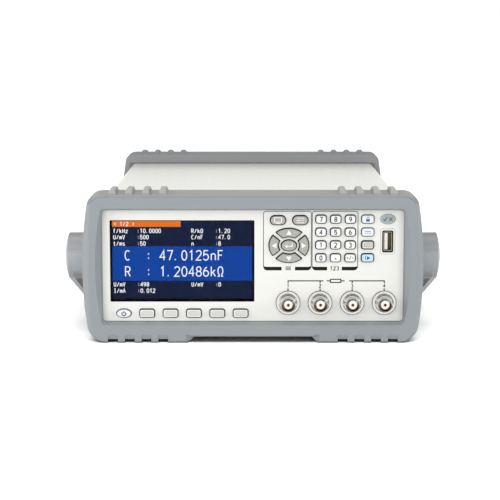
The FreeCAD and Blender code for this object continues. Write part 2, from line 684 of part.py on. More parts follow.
def build():
    plans = key_plans()
    parts = {
        "front_bumper": front_bumper(),
        "rear_bumper": rear_bumper(),
        "case_sleeve": case_sleeve(),
        "chassis_tray": chassis_tray(),
        "front_panel": front_panel(plans),
        "rear_panel": rear_panel(),
        "display_window": display_window(),
        "display_module": display_module(),
        "keypad_board": keypad_board(),
        "key_switches": key_switches(plans),
        "status_lamp": status_lamp(),
        "usb_shell": usb_shell(),
        "usb_insulator": usb_insulator(),
        "bnc_shells": at_sockets(socket_shell),
        "bnc_insulators": at_sockets(socket_insulator),
        "bnc_contacts": at_sockets(socket_contact),
        "bnc_nuts": at_sockets(socket_nut),
        "handle_right_arm": handle_arm(),
        "handle_left_arm": mirror_x(handle_arm()),
        "handle_grip": handle_grip(),
        "pivot_bosses": pivot_bosses(),
        "main_board": main_board(),
        "shield_can": shield_can(),
        "power_supply": power_supply(),
        "ac_inlet": ac_inlet(),
        "inlet_pins": inlet_pins(),
        "fuse_drawer": fuse_drawer(),
        "handler_port": handler_port(),
        "serial_port": serial_port(),
        "ground_post": ground_post(),
        "rear_screws": rear_screws(),
    }
    for name, (x, z, plan) in plans.items():
        parts[name] = key(x, z, plan)
    return parts


os.makedirs("parts", exist_ok=True)
for name, shape in build().items():
    shape.exportStep("parts/" + name + ".step")
    print(name, "solids", len(shape.Solids), "valid", shape.isValid())
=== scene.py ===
# %% [markdown]
# A bench component tester: a box case between two rubber bumpers, a swing-down handle, a colour screen,
# rubber keys and four bayonet sockets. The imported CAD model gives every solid, already in place. This
# lesson gives the solids their finishes, prints the panel, lights the screen and sets up the studio.

# %% Load the CAD model
import math
import bpy
import bmesh
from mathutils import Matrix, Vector


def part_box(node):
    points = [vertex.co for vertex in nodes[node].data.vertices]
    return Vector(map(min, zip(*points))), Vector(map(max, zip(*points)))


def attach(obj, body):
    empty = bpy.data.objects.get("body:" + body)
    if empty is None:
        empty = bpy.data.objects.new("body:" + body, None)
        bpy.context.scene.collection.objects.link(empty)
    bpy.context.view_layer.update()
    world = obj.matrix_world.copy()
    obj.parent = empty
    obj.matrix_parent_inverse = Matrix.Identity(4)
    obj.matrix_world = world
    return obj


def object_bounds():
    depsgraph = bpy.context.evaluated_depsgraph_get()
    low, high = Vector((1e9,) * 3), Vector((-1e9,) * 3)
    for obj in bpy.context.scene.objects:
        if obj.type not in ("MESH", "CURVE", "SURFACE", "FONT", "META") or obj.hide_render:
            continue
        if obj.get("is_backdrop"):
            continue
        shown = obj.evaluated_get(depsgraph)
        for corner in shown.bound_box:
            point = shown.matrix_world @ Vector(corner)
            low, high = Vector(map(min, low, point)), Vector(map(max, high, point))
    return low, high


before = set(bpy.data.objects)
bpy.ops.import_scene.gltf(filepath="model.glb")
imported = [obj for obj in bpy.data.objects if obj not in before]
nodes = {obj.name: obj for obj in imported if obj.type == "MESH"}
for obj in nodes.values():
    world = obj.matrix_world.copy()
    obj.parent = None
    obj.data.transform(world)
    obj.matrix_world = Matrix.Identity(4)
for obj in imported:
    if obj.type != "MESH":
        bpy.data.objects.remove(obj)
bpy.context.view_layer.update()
MM = 0.001

# %% [markdown]
# Colours are easiest to read as the 0 to 255 numbers of a paint picker, but a shader works in linear
# light. One small function turns the first into the second, so that every finish below can be written
# as it should look.

# %% Colour helper


def paint(red, green, blue):
    def linear(value):
        # The numbers are those of the sRGB standard: a short straight foot, then a power curve.
        value = value / 255
        if value <= 0.04045:
            return value / 12.92
        return ((value + 0.055) / 1.055) ** 2.4
    return (linear(red), linear(green), linear(blue), 1.0)


print("mid grey", [round(c, 3) for c in paint(128, 128, 128)])

# %% [markdown]
# Every finish below is a small net of shader nodes, and the same links turn up again and again: a noise, a
# ramp from one range to another, a sum of two values. They could be written out each time, but as helpers
# they keep each finish short. The noise reads object coordinates, so a pattern stays on its piece when the
# piece moves.

# %% Node helpers
# The colour sockets of a Mix node share their names with its other sockets, so they go by number.
MIX_FIRST = 6
MIX_SECOND = 7
MIX_RESULT = 2


def link_noise(tree, scale, detail, place):
    noise = tree.nodes.new("ShaderNodeTexNoise")
    noise.inputs["Scale"].default_value = scale
    noise.inputs["Detail"].default_value = detail
    tree.links.new(place.outputs["Object"], noise.inputs["Vector"])
    return noise


def ramp(tree, source, low, high, at_low, at_high):
    node = tree.nodes.new("ShaderNodeMapRange")
    node.inputs["From Min"].default_value = low
    node.inputs["From Max"].default_value = high
    node.inputs["To Min"].default_value = at_low
    node.inputs["To Max"].default_value = at_high
    tree.links.new(source, node.inputs["Value"])
    return node.outputs["Result"]


def fade(tree, source, span, at_low, at_high, start=0.0):
    # The span is in millimetres, counted from start, which is in metres.
    return ramp(tree, source, start + span[0] * MM, start + span[1] * MM, at_low, at_high)


def maths(tree, operation, first, second=None):
    node = tree.nodes.new("ShaderNodeMath")
    node.operation = operation
    for slot, value in enumerate((first, second)):
        if isinstance(value, (int, float)):
            node.inputs[slot].default_value = value
        elif value is not None:
            tree.links.new(value, node.inputs[slot])
    return node.outputs[0]


def colour_mix(tree, factor, first, second):
    node = tree.nodes.new("ShaderNodeMix")
    node.data_type = "RGBA"
    tree.links.new(factor, node.inputs[0])
    for slot, value in ((MIX_FIRST, first), (MIX_SECOND, second)):
        if isinstance(value, (list, tuple)):
            node.inputs[slot].default_value = value
        else:
            tree.links.new(value, node.inputs[slot])
    return node.outputs[MIX_RESULT]


def split(tree, output):
    place = tree.nodes.new("ShaderNodeTexCoord")
    axes = tree.nodes.new("ShaderNodeSeparateXYZ")
    tree.links.new(place.outputs[output], axes.inputs[0])
    return axes


print("node helpers ready")

# %% [markdown]
# The gaps round the keys are narrow, and their shade looks darker than the lamps alone make it. Deeper gaps
# could be cut, but the solids already have a plausible depth. So painted shade darkens a finish with distance
# behind the face of the panel or of the keys, and deep inside the port; the panel also gets painted shade
# towards its left and right edges, under the bumper's lip. Three pale keys sit in a lighter painted shade,
# which is found by its distance from the key's box.

# %% Shades of the panel and the keys
PANEL_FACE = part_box("front_panel")[0].y
KEY_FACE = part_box("key_5")[0].y
PANEL_LIP = (0.02, 0.3)
KEY_LIP = (0.03, 0.3)
PORT_LIP = (3.4, 5.5)
GAP_LEVEL = 0.03
KEY_LEVEL = 0.06
PORT_LEVEL = 0.3
PALE_KEYS = ["power_key", "lock_key", "bias_key"]
PALE_REACH = (0.9, 1.2)
PALE_LEVEL = 0.5
PANEL_EDGE = (99.0, 103.5)
PANEL_EDGE_LEVEL = 0.74


# painted shade, lighter, in the gap round the pale keys
def near_key(tree, axes, name):
    low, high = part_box(name)
    middle = (low + high) / 2
    reach = (high - low) / 2
    aside = maths(tree, "ABSOLUTE", maths(tree, "SUBTRACT", axes.outputs["X"], middle.x))
    above = maths(tree, "ABSOLUTE", maths(tree, "SUBTRACT", axes.outputs["Z"], middle.z))
    aside = maths(tree, "SUBTRACT", aside, reach.x)
    above = maths(tree, "SUBTRACT", above, reach.z)
    return fade(tree, maths(tree, "MAXIMUM", aside, above), PALE_REACH, PALE_LEVEL, 0.0)


def gap_shade(tree, axes):
    level = fade(tree, axes.outputs["Y"], PANEL_LIP, 1.0, GAP_LEVEL, PANEL_FACE)
    for name in PALE_KEYS:
        level = maths(tree, "MAXIMUM", level, near_key(tree, axes, name))
    # painted shade towards the panel's left and right edges, under the bumper's lip
    across = maths(tree, "ABSOLUTE", axes.outputs["X"])
    return maths(tree, "MULTIPLY", level, fade(tree, across, PANEL_EDGE, 1.0, PANEL_EDGE_LEVEL))


# painted shade on the flanks of the keys, down in their gap
def key_shade(tree, axes):
    return fade(tree, axes.outputs["Y"], KEY_LIP, 1.0, KEY_LEVEL, KEY_FACE)


def power_shade(tree, axes):
    return fade(tree, axes.outputs["Y"], KEY_LIP, 1.0, PALE_LEVEL, KEY_FACE)


# painted shade deep inside the port
def port_shade(tree, axes):
    return fade(tree, axes.outputs["Y"], PORT_LIP, 1.0, PORT_LEVEL, PANEL_FACE)


print("panel face at", round(PANEL_FACE, 4), "key face at", round(KEY_FACE, 4))

# %% [markdown]
# The rubber bumpers have slots between their feet and an inner wall round the panel, and the handle's arms
# have a side that faces the case. Hardly any light gets into these places. A dark liner could be put there,
# but it would be a piece that the real thing doesn't have, so the finish itself gets painted shade where it
# lies deep. The bumpers also get a painted contact shadow along their foot, the hubs painted shade on top,
# and the case a little painted shade towards its rear end, next to the rear bumper and farthest from the
# lamps.

# %% Shades of the bumpers, the case and the handle
REAR_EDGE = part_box("rear_bumper")[0].y
REAR_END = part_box("rear_bumper")[1].y
SLOT_FRONT = (-4.9, -4.5)
SLOT_REAR = (-1.5, -1.1)
SLOT_ROOF = (2.2, 2.7)
SLOT_DARK = 0.9
SLOT_GROUP_MIDDLE = 78
SLOT_GROUP_REACH = 25
MOUTH_HALF_WIDE = 108.0
MOUTH_MIDDLE = 52.7
MOUTH_HALF_HIGH = 41.2
MOUTH_DEPTH = (174.0, 171.6)
MOUTH_DARK = 0.4
FOOT_RISE = (0.3, 1.6)
FOOT_LEVEL = 0.35
SLEEVE_FADE = (-52, 0)
SLEEVE_LEVEL = 0.74
ARM_INNER_FACE = (127.3, 127.5)
ARM_INNER_FADE = (30.0, 44.0)
ARM_INNER_LEVEL = 0.06
ARM_HUB_FADE = (56.0, 68.0)
ARM_HUB_LEVEL = 0.66


def slot_shade(tree, axes):
    behind = fade(tree, axes.outputs["Y"], SLOT_FRONT, 0.0, SLOT_DARK, PANEL_FACE)
    before = fade(tree, axes.outputs["Y"], SLOT_REAR, SLOT_DARK, 0.0, REAR_END)
    low = fade(tree, axes.outputs["Z"], SLOT_ROOF, SLOT_DARK, 0.0)
    across = maths(tree, "ABSOLUTE", axes.outputs["X"])
    aside = maths(tree, "ABSOLUTE", maths(tree, "SUBTRACT", across, SLOT_GROUP_MIDDLE * MM))
    narrow = maths(tree, "LESS_THAN", aside, SLOT_GROUP_REACH * MM)
    dark = maths(tree, "MINIMUM", maths(tree, "MINIMUM", behind, before), low)
    return maths(tree, "SUBTRACT", 1.0, maths(tree, "MULTIPLY", dark, narrow))


def mouth_shade(tree, axes):
    across = maths(tree, "ABSOLUTE", axes.outputs["X"])
    inside_x = maths(tree, "LESS_THAN", across, MOUTH_HALF_WIDE * MM)
    height = maths(tree, "SUBTRACT", axes.outputs["Z"], MOUTH_MIDDLE * MM)
    inside_z = maths(tree, "LESS_THAN", maths(tree, "ABSOLUTE", height), MOUTH_HALF_HIGH * MM)
    inside = maths(tree, "MULTIPLY", inside_x, inside_z)
    depth = maths(tree, "ABSOLUTE", axes.outputs["Y"])
    near = fade(tree, depth, MOUTH_DEPTH, 0.0, MOUTH_DARK)
    mouth = maths(tree, "SUBTRACT", 1.0, maths(tree, "MULTIPLY", inside, near))
    # painted contact shadow along the foot of the bumpers
    ground = fade(tree, axes.outputs["Z"], FOOT_RISE, FOOT_LEVEL, 1.0)
    return maths(tree, "MULTIPLY", maths(tree, "MULTIPLY", mouth, ground), slot_shade(tree, axes))


def sleeve_shade(tree, axes):
    return fade(tree, axes.outputs["Y"], SLEEVE_FADE, 1.0, SLEEVE_LEVEL, REAR_EDGE)


def arm_shade(tree, axes):
    across = maths(tree, "ABSOLUTE", axes.outputs["X"])
    inner = fade(tree, across, ARM_INNER_FACE, ARM_INNER_LEVEL, 1.0)
    inner = maths(tree, "MAXIMUM", inner, fade(tree, axes.outputs["Z"], ARM_INNER_FADE, 0.0, 1.0))
    # painted shade on the top of each hub
    return maths(tree, "MULTIPLY", inner, fade(tree, axes.outputs["Z"], ARM_HUB_FADE, 1.0, ARM_HUB_LEVEL))


print("rear bumper from", round(REAR_EDGE, 4), "to", round(REAR_END, 4))

# %% [markdown]
# Each test socket is a metal tube with a flange, a white core and a gilt pin. Painted shade darkens the gap
# round the flange's edge and the lower half of the bore into rings. The rings could be separate pieces, but
# one
# formula does for all four sockets: they stand at an even pitch, so the remainder of x by the pitch tells how
# far a point is from its axis.

# %% Shades of the sockets
SOCKET_FIRST = 24.1
SOCKET_PITCH = 22
SOCKET_HEIGHT = 27.0
FLANGE_GAP = (7.8, 8.15)
FLANGE_LEVEL = 0.1
BORE_WALL = (4.3, 4.6)
BORE_HALF = (-1.5, 2.0)
BORE_LEVEL = 0.8


def socket_polar(tree, axes):
    first_cell = SOCKET_FIRST - SOCKET_PITCH / 2
    across = maths(tree, "SUBTRACT", axes.outputs["X"], first_cell * MM)
    across = maths(tree, "MODULO", across, SOCKET_PITCH * MM)
    across = maths(tree, "SUBTRACT", across, SOCKET_PITCH / 2 * MM)
    height = maths(tree, "SUBTRACT", axes.outputs["Z"], SOCKET_HEIGHT * MM)
    width_part = maths(tree, "MULTIPLY", across, across)
    height_part = maths(tree, "MULTIPLY", height, height)
    return maths(tree, "SQRT", maths(tree, "ADD", width_part, height_part)), height


def socket_shade(tree, axes):
    radius, height = socket_polar(tree, axes)
    # painted shade: a dark ring at the flange's edge, and the lower half of the bore darker
    rim = fade(tree, radius, FLANGE_GAP, 1.0, FLANGE_LEVEL)
    lower = fade(tree, height, BORE_HALF, BORE_LEVEL, 1.0)
    inner = fade(tree, radius, BORE_WALL, 0.0, 1.0)
    return maths(tree, "MULTIPLY", rim, maths(tree, "MAXIMUM", lower, inner))


print("socket pitch", SOCKET_PITCH, "mm")

# %% [markdown]
# Moulded rubber, painted sheet and keycaps differ mostly in three things: how even their colour is, how
# fine their surface grain is and how it scatters light. All of them could be separate node trees. One
# builder with those values as arguments keeps them in one family: a wide noise drifts the tone, a fine
# noise makes the grain of the mould as bump, and the same grain breaks up the roughness. A shade from the
# cells above can darken the tone.

# %% Finish builder
CLOUD_SCALE = 22.0
CLOUD_DETAIL = 4.0
GRAIN_DETAIL = 2.0
GRAIN_STRENGTH = 0.35
GLOSS_SHARE = 0.2
GLOSS_MOST = 0.07


def drifting(tree, place, colour, drift, scale, detail):
    cloud = link_noise(tree, scale, detail, place)
    darker = [c * (1 - drift) for c in colour[:3]] + [1.0]
    lighter = [min(c * (1 + drift), 1.0) for c in colour[:3]] + [1.0]
    return colour_mix(tree, cloud.outputs["Fac"], darker, lighter)


def shaded(tree, place, shown, shade):
    axes = tree.nodes.new("ShaderNodeSeparateXYZ")
    tree.links.new(place.outputs["Object"], axes.inputs[0])
    darker = tree.nodes.new("ShaderNodeVectorMath")
    darker.operation = "SCALE"
    tree.links.new(shown, darker.inputs[0])
    tree.links.new(shade(tree, axes), darker.inputs["Scale"])
    return darker.outputs[0]


def new_finish(name):
    material = bpy.data.materials.new(name)
    material.use_nodes = True
    return material, material.node_tree


def moulded(name, colour, rough, grain, depth, drift, metal=0.0, specular=0.5, shade=None):
    material, tree = new_finish(name)
    shader = tree.nodes["Principled BSDF"]
    shader.inputs["Metallic"].default_value = metal
    shader.inputs["Specular IOR Level"].default_value = specular
    place = tree.nodes.new("ShaderNodeTexCoord")
    shown = drifting(tree, place, colour, drift, CLOUD_SCALE, CLOUD_DETAIL)
    if shade:
        shown = shaded(tree, place, shown, shade)
    tree.links.new(shown, shader.inputs["Base Color"])
    fine = link_noise(tree, grain, GRAIN_DETAIL, place)
    spread = min(rough * GLOSS_SHARE, GLOSS_MOST)
    gloss = ramp(tree, fine.outputs["Fac"], 0.0, 1.0, rough - spread, rough + spread)
    tree.links.new(gloss, shader.inputs["Roughness"])
    bump = tree.nodes.new("ShaderNodeBump")
    bump.inputs["Strength"].default_value = GRAIN_STRENGTH
    bump.inputs["Distance"].default_value = depth * MM
    tree.links.new(fine.outputs["Fac"], bump.inputs["Height"])
    tree.links.new(bump.outputs["Normal"], shader.inputs["Normal"])
    return material


print("finish builder ready")

# %% [markdown]
# Some places of the bumpers get painted light or shade: painted warm light on the upward faces of the front
# one, painted light on its rib caps, painted shade on the bend of the upper edge and on the whole rear one.
# Each could be a second material on some of the faces, but the edge between two materials is hard. A tint
# laid over the finish can fade: the cover says where it lies, from 0 to 1, by position or by the way that a
# face points.

# %% Tints of the bumpers
RIB_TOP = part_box("front_bumper")[1].z
REAR_START = 5
HIGH_START = 95
TOP_LIGHT_SLOPE = (0.55, 0.9)
RIB_CAP = (-2.7, -1.7)
BEND_START = (0.1, 0.4)
BEND_END = (0.6, 0.9)


def tinted(material, tint, cover):
    tree = material.node_tree
    base = tree.nodes["Principled BSDF"].inputs["Base Color"]
    clean = base.links[0].from_socket
    stained = tree.nodes.new("ShaderNodeVectorMath")
    stained.operation = "MULTIPLY"
    stained.inputs[1].default_value = tint
    tree.links.new(clean, stained.inputs[0])
    tree.links.new(colour_mix(tree, cover(tree), clean, stained.outputs[0]), base)


def rear_cover(tree):
    return maths(tree, "GREATER_THAN", split(tree, "Object").outputs["Y"], REAR_EDGE - REAR_START * MM)


def front_cover(tree):
    return maths(tree, "SUBTRACT", 1.0, rear_cover(tree))


def high_cover(tree):
    return maths(tree, "GREATER_THAN", split(tree, "Object").outputs["Z"], HIGH_START * MM)


# painted warm light on the upward faces of the front bumper
def dust_cover(tree):
    upward = ramp(tree, split(tree, "Normal").outputs["Z"], *TOP_LIGHT_SLOPE, 0.0, 1.0)
    return maths(tree, "MULTIPLY", maths(tree, "MULTIPLY", upward, front_cover(tree)), high_cover(tree))


# painted light on the rib caps of the front bumper
def rib_cover(tree):
    height = split(tree, "Object").outputs["Z"]
    return maths(tree, "MULTIPLY", front_cover(tree), fade(tree, height, RIB_CAP, 0.0, 1.0, RIB_TOP))


# painted shade on the bend of the bumpers' upper edge
def edge_cover(tree):
    upward = split(tree, "Normal").outputs["Z"]
    slanted = maths(tree, "MAXIMUM", ramp(tree, upward, *BEND_END, 1.0, 0.0), rear_cover(tree))
    bend = maths(tree, "MULTIPLY", ramp(tree, upward, *BEND_START, 0.0, 1.0), slanted)
    return maths(tree, "MULTIPLY", bend, high_cover(tree))


print("rib tops at", round(RIB_TOP, 4))

# %% [markdown]
# The shade deep in the port and in the lower half of each socket is brown. A brown lamp inside could do that,
# but it would also light what is round it, so here too a tint is laid over the finish. It lies behind the
# mouth of the port, and on the lower half of the rings in and round the socket's core.

# %% Tints of the port and the sockets
PORT_DEPTH = (1.7, 3.5)
CORE_RING = (2.65, 2.85)
CORE_HALF = (-0.5, 1.5)
NOSE_RING = (4.75, 4.95)
NOSE_HALF = (-0.5, 1.0)


def port_cover(tree):
    return fade(tree, split(tree, "Object").outputs["Y"], PORT_DEPTH, 0.0, 1.0, PANEL_FACE)


def core_cover(tree):
    radius, height = socket_polar(tree, split(tree, "Object"))
    outer = fade(tree, radius, CORE_RING, 0.0, 1.0)
    return maths(tree, "MULTIPLY", outer, fade(tree, height, CORE_HALF, 1.0, 0.0))


def nose_cover(tree):
    radius, height = socket_polar(tree, split(tree, "Object"))
    nose = fade(tree, radius, NOSE_RING, 1.0, 0.0)
    return maths(tree, "MULTIPLY", nose, fade(tree, height, NOSE_HALF, 1.0, 0.0))


print("tints of the port and the sockets ready")

# %% [markdown]
# The body of the tester: grey rubber bumpers, an ivory panel, a case in smooth pale paint and a handle in
# two greys. A single grey for rubber and handle would do from afar, but rubber is duller and coarser. The
# grain numbers are noise scales, so a larger one is finer, and depths are in millimetres.

# %% Finishes of the body
TOP_LIGHT_TINT = (1.1, 1.03, 0.95)
BEND_SHADE_TINT = (0.76, 0.79, 0.82)
RIB_LIGHT_TINT = (1.28, 1.26, 1.2)
REAR_SHADE_TINT = (0.93, 0.87, 0.86)
PALE_PAINT = {"colour": paint(226, 228, 222), "rough": 0.26, "grain": 1800, "depth": 0.02, "drift": 0.02}
bumper_rubber = moulded("bumper_rubber", paint(150, 156, 159), rough=0.55, grain=1500, depth=0.05, drift=0.04,
                        specular=0.4, shade=mouth_shade)
# painted warm light on the upward faces of the front bumper
tinted(bumper_rubber, TOP_LIGHT_TINT, dust_cover)
# painted shade on the bend of the upper edge
tinted(bumper_rubber, BEND_SHADE_TINT, edge_cover)
# painted light on the rib caps
tinted(bumper_rubber, RIB_LIGHT_TINT, rib_cover)
# painted shade over the whole rear bumper
tinted(bumper_rubber, REAR_SHADE_TINT, rear_cover)
panel_ivory = moulded("panel_ivory", paint(241, 241, 236), rough=0.5, grain=2200, depth=0.02, drift=0.015,
                      shade=gap_shade)
case_paint = moulded("case_paint", **PALE_PAINT)
# the sleeve's copy of the case paint carries painted shade towards the rear
sleeve_paint = moulded("sleeve_paint", **PALE_PAINT, shade=sleeve_shade)
handle_grey = moulded("handle_grey", paint(172, 176, 180), rough=0.4, grain=1700, depth=0.03, drift=0.03)
# the arms' grey carries painted shade on the inner face and on top of the hubs
arm_grey = moulded("arm_grey", paint(174, 178, 182), rough=0.34, grain=1700, depth=0.03, drift=0.03,
                   shade=arm_shade)
print("finishes so far", len(bpy.data.materials))

# %% [markdown]
# Keycaps are rubber in white, grey and one pale blue, all with the same fine grain. They could share one
# material with the colour from the object, but separate materials keep their own names.

# %% Finishes of the keys
CAP_GRAIN = {"grain": 2600, "depth": 0.01}
key_white = moulded("key_white", paint(244, 245, 244), rough=0.45, drift=0.015, shade=key_shade, **CAP_GRAIN)
power_white = moulded("power_white", paint(236, 240, 245), rough=0.45, drift=0.015, shade=power_shade,
                      **CAP_GRAIN)
key_pad_grey = moulded("key_pad_grey", paint(212, 214, 207), rough=0.5, drift=0.02, **CAP_GRAIN)
key_grey = moulded("key_grey", paint(174, 174, 168), rough=0.5, drift=0.03, shade=key_shade, **CAP_GRAIN)
key_blue = moulded("key_blue", paint(198, 228, 244), rough=0.45, drift=0.02, shade=key_shade, **CAP_GRAIN)
print("finishes so far", len(bpy.data.materials))

# %% [markdown]
# The small parts: nickel on sockets and ports, zinc on the hidden sheet, gilt pins, white insulators and
# the boards. Real metal is a mirror with fine scratches. A scratch map could show them one by one, but at
# this size a fine grain in the roughness is enough. The brown tints stand for the shade inside the bores.

# %% Finishes of the metal and the insulators
NOSE_TINT = (0.46, 0.35, 0.24)
CORE_TINT = (0.16, 0.12, 0.08)
PORT_TINT = (0.62, 0.5, 0.26)
WHITE_CORE = {"colour": paint(246, 246, 243), "rough": 0.4, "grain": 1500, "depth": 0.006, "drift": 0.02}
black_plastic = moulded("black_plastic", paint(30, 30, 31), rough=0.45, grain=1800, depth=0.03, drift=0.1)
nickel = moulded("nickel", paint(214, 212, 206), rough=0.14, grain=500, depth=0.0015, drift=0.03, metal=1.0)
socket_nickel = moulded("socket_nickel", paint(216, 216, 212), rough=0.16, grain=500, depth=0.0015,
                        drift=0.03, metal=0.9, shade=socket_shade)
tinted(socket_nickel, NOSE_TINT, nose_cover)
port_metal = moulded("port_metal", paint(178, 168, 148), rough=0.3, grain=500, depth=0.002, drift=0.05,
                     metal=0.5, shade=port_shade)
zinc_sheet = moulded("zinc_sheet", paint(168, 172, 176), rough=0.42, grain=300, depth=0.01, drift=0.12,
                     metal=1.0)
gold_plate = moulded("gold_plate", paint(218, 172, 84), rough=0.22, grain=600, depth=0.002, drift=0.06,
                     metal=1.0)
socket_pin = moulded("socket_pin", paint(128, 92, 58), rough=0.4, grain=600, depth=0.002, drift=0.06,
                     metal=1.0)
white_insulator = moulded("white_insulator", **WHITE_CORE)
tinted(white_insulator, CORE_TINT, core_cover)
port_tongue = moulded("port_tongue", **WHITE_CORE)
tinted(port_tongue, PORT_TINT, port_cover)
solder_mask = moulded("solder_mask", paint(38, 92, 58), rough=0.4, grain=700, depth=0.03, drift=0.2)
lamp_lens = moulded("lamp_lens", paint(168, 178, 180), rough=0.2, grain=1500, depth=0.004, drift=0.05,
                    shade=gap_shade)
screen_frame = moulded("screen_frame", paint(6, 6, 8), rough=0.35, grain=1500, depth=0.01, drift=0.1,
                       specular=0.05)
print("finishes so far", len(bpy.data.materials))

# %% [markdown]
# Four inks print the panel and the keys. Printed ink is dull and thin: it hardly mirrors anything. It could
# be a plain colour, but a little drift in the tone keeps it from looking cut out of paper.

# %% Finishes of the ink
INK = {"rough": 0.6, "grain": 3000, "depth": 0.002}
dark_ink = moulded("dark_ink", paint(22, 22, 23), drift=0.05, specular=0.2, **INK)
soft_ink = moulded("soft_ink", paint(70, 74, 78), drift=0.05, specular=0.2, **INK)
blue_ink = moulded("blue_ink", paint(58, 98, 142), drift=0.05, specular=0.2, **INK)
white_ink = moulded("white_ink", paint(250, 250, 250), drift=0.01, **INK)
print("finishes", len(bpy.data.materials))

# %% [markdown]
# The window over the screen is a clear acrylic plate. It could be left out, since it hardly shows, but
# it gives the screen its thin sheen. Full transmission with a low index keeps the picture behind it
# crisp; a fine noise in the roughness stands for the anti-glare etch.

# %% Clear window
WINDOW_INDEX = 1.08
ETCH_SCALE = 2500.0
ETCH_ROUGH = 0.03


def clear_plate(name):
    material, tree = new_finish(name)
    shader = tree.nodes["Principled BSDF"]
    shader.inputs["Base Color"].default_value = (1, 1, 1, 1)
    shader.inputs["Transmission Weight"].default_value = 1.0
    shader.inputs["IOR"].default_value = WINDOW_INDEX
    place = tree.nodes.new("ShaderNodeTexCoord")
    etch = link_noise(tree, ETCH_SCALE, 1.0, place)
    tree.links.new(ramp(tree, etch.outputs["Fac"], 0, 1, 0.0, ETCH_ROUGH), shader.inputs["Roughness"])
    return material


clear_window = clear_plate("clear_window")
print("window finish made")

# %% [markdown]
# Every CAD node now gets its finish. Each could be dressed on a line of its own, but a table of node
# names by finish reads like a parts list, and anything that it forgets is printed.

# %% Dress the CAD nodes
KEYS_BY_DIGIT = ["key_%d" % i for i in range(10)]
DRESS = [
    (bumper_rubber, ["front_bumper", "rear_bumper"]),
    (panel_ivory, ["front_panel"]),
    (sleeve_paint, ["case_sleeve"]),
    (case_paint, ["rear_panel"]),
    (handle_grey, ["handle_grip", "pivot_bosses"]),
    (arm_grey, ["handle_left_arm", "handle_right_arm"]),
    (power_white, PALE_KEYS),
    (key_white, KEYS_BY_DIGIT + ["key_point", "key_sign"] + ["soft_key_%d" % i for i in range(1, 6)]),
    (key_grey, ["display_key", "setup_key", "arrow_up", "arrow_down", "arrow_left", "arrow_right",
                "enter_key", "keyboard_key"]),
    (key_blue, ["trigger_key"]),
    (clear_window, ["display_window"]),
    (screen_frame, ["display_module"]),
    (black_plastic, ["key_switches", "ac_inlet", "fuse_drawer"]),
    (nickel, ["bnc_nuts", "inlet_pins", "handler_port", "serial_port", "rear_screws"]),
    (socket_nickel, ["bnc_shells"]),
    (port_metal, ["usb_shell"]),
    (gold_plate, ["ground_post"]),
    (socket_pin, ["bnc_contacts"]),
    (white_insulator, ["bnc_insulators"]),
    (port_tongue, ["usb_insulator"]),
    (solder_mask, ["keypad_board", "main_board"]),
    (zinc_sheet, ["chassis_tray", "shield_can", "power_supply"]),
    (lamp_lens, ["status_lamp"]),
]
dressed = set()
for material, names in DRESS:
    for name in names:
        nodes[name].data.materials.clear()
        nodes[name].data.materials.append(material)
        dressed.add(name)
print("not dressed:", sorted(set(nodes) - dressed))

# %% [markdown]
# Printed signs are thin films of ink on the panel and on the keys. They could be a texture, but real
# geometry stays sharp at any distance and needs no image. A film is described flat, in millimetres
# across (x) and up (z): points plus faces. The first helpers make such outlines.

# %% Flat outlines


def polygon(points):
    return list(points), [list(range(len(points)))]


def rounded(x, z, width, height, radius, steps=6):
    points = []
    for cx, cz, start in ((1, 1, 0), (-1, 1, 90), (-1, -1, 180), (1, -1, 270)):
        for i in range(steps + 1):
            angle = math.radians(start + 90 * i / steps)
            points.append((x + cx * (width / 2 - radius) + radius * math.cos(angle),
                           z + cz * (height / 2 - radius) + radius * math.sin(angle)))
    return polygon(points)


def arc_points(x, z, radius, start, end, steps=20, tall=1.0):
    points = []
    for i in range(steps + 1):
        angle = math.radians(start + (end - start) * i / steps)
        points.append((x + radius * math.cos(angle), z + radius * tall * math.sin(angle)))
    return points


def moved(shape, dx, dz, scale=1.0):
    points, faces = shape
    return [(x * scale + dx, z * scale + dz) for x, z in points], faces


print("outline helpers ready")

# %% [markdown]
# A printed line has a width. A curve with a bevel could give it one, but it would have to be turned into a
# flat mesh afterwards. This helper puts a point on each side of every corner, at the mitre, and joins them
# with four-sided faces. A very sharp corner gets a shorter mitre, so that no spike stands out.

# %% Strokes
SHORTEST = 1e-9
SHARPEST_MITRE = 0.35


def stroke(points, width, closed=False):
    count = len(points)
    left, right = [], []
    for i, (x, z) in enumerate(points):
        before = points[i - 1] if (i or closed) else points[i]
        after = points[(i + 1) % count] if (i < count - 1 or closed) else points[i]
        first = Vector((x - before[0], z - before[1]))
        second = Vector((after[0] - x, after[1] - z))
        if first.length < SHORTEST:
            first = second
        if second.length < SHORTEST:
            second = first
        first.normalize()
        second.normalize()
        along = (first + second).normalized()
        across = Vector((-along.y, along.x))
        reach = width / 2 / max(across.dot(Vector((-first.y, first.x))), SHARPEST_MITRE)
        left.append((x + across.x * reach, z + across.y * reach))
        right.append((x - across.x * reach, z - across.y * reach))
    faces = []
    for i in range(count if closed else count - 1):
        j = (i + 1) % count
        faces.append([i, count + i, count + j, j])
    return left + right, faces


print("stroke tool ready")

# %% [markdown]
# A film gets its thickness here: a front, a back and an edge along every side that only one face uses. A
# Solidify modifier could do the same, but it would have to be applied on every film. The finished film
# rides on a body, so that a sign on a key moves with the key.

# %% Films


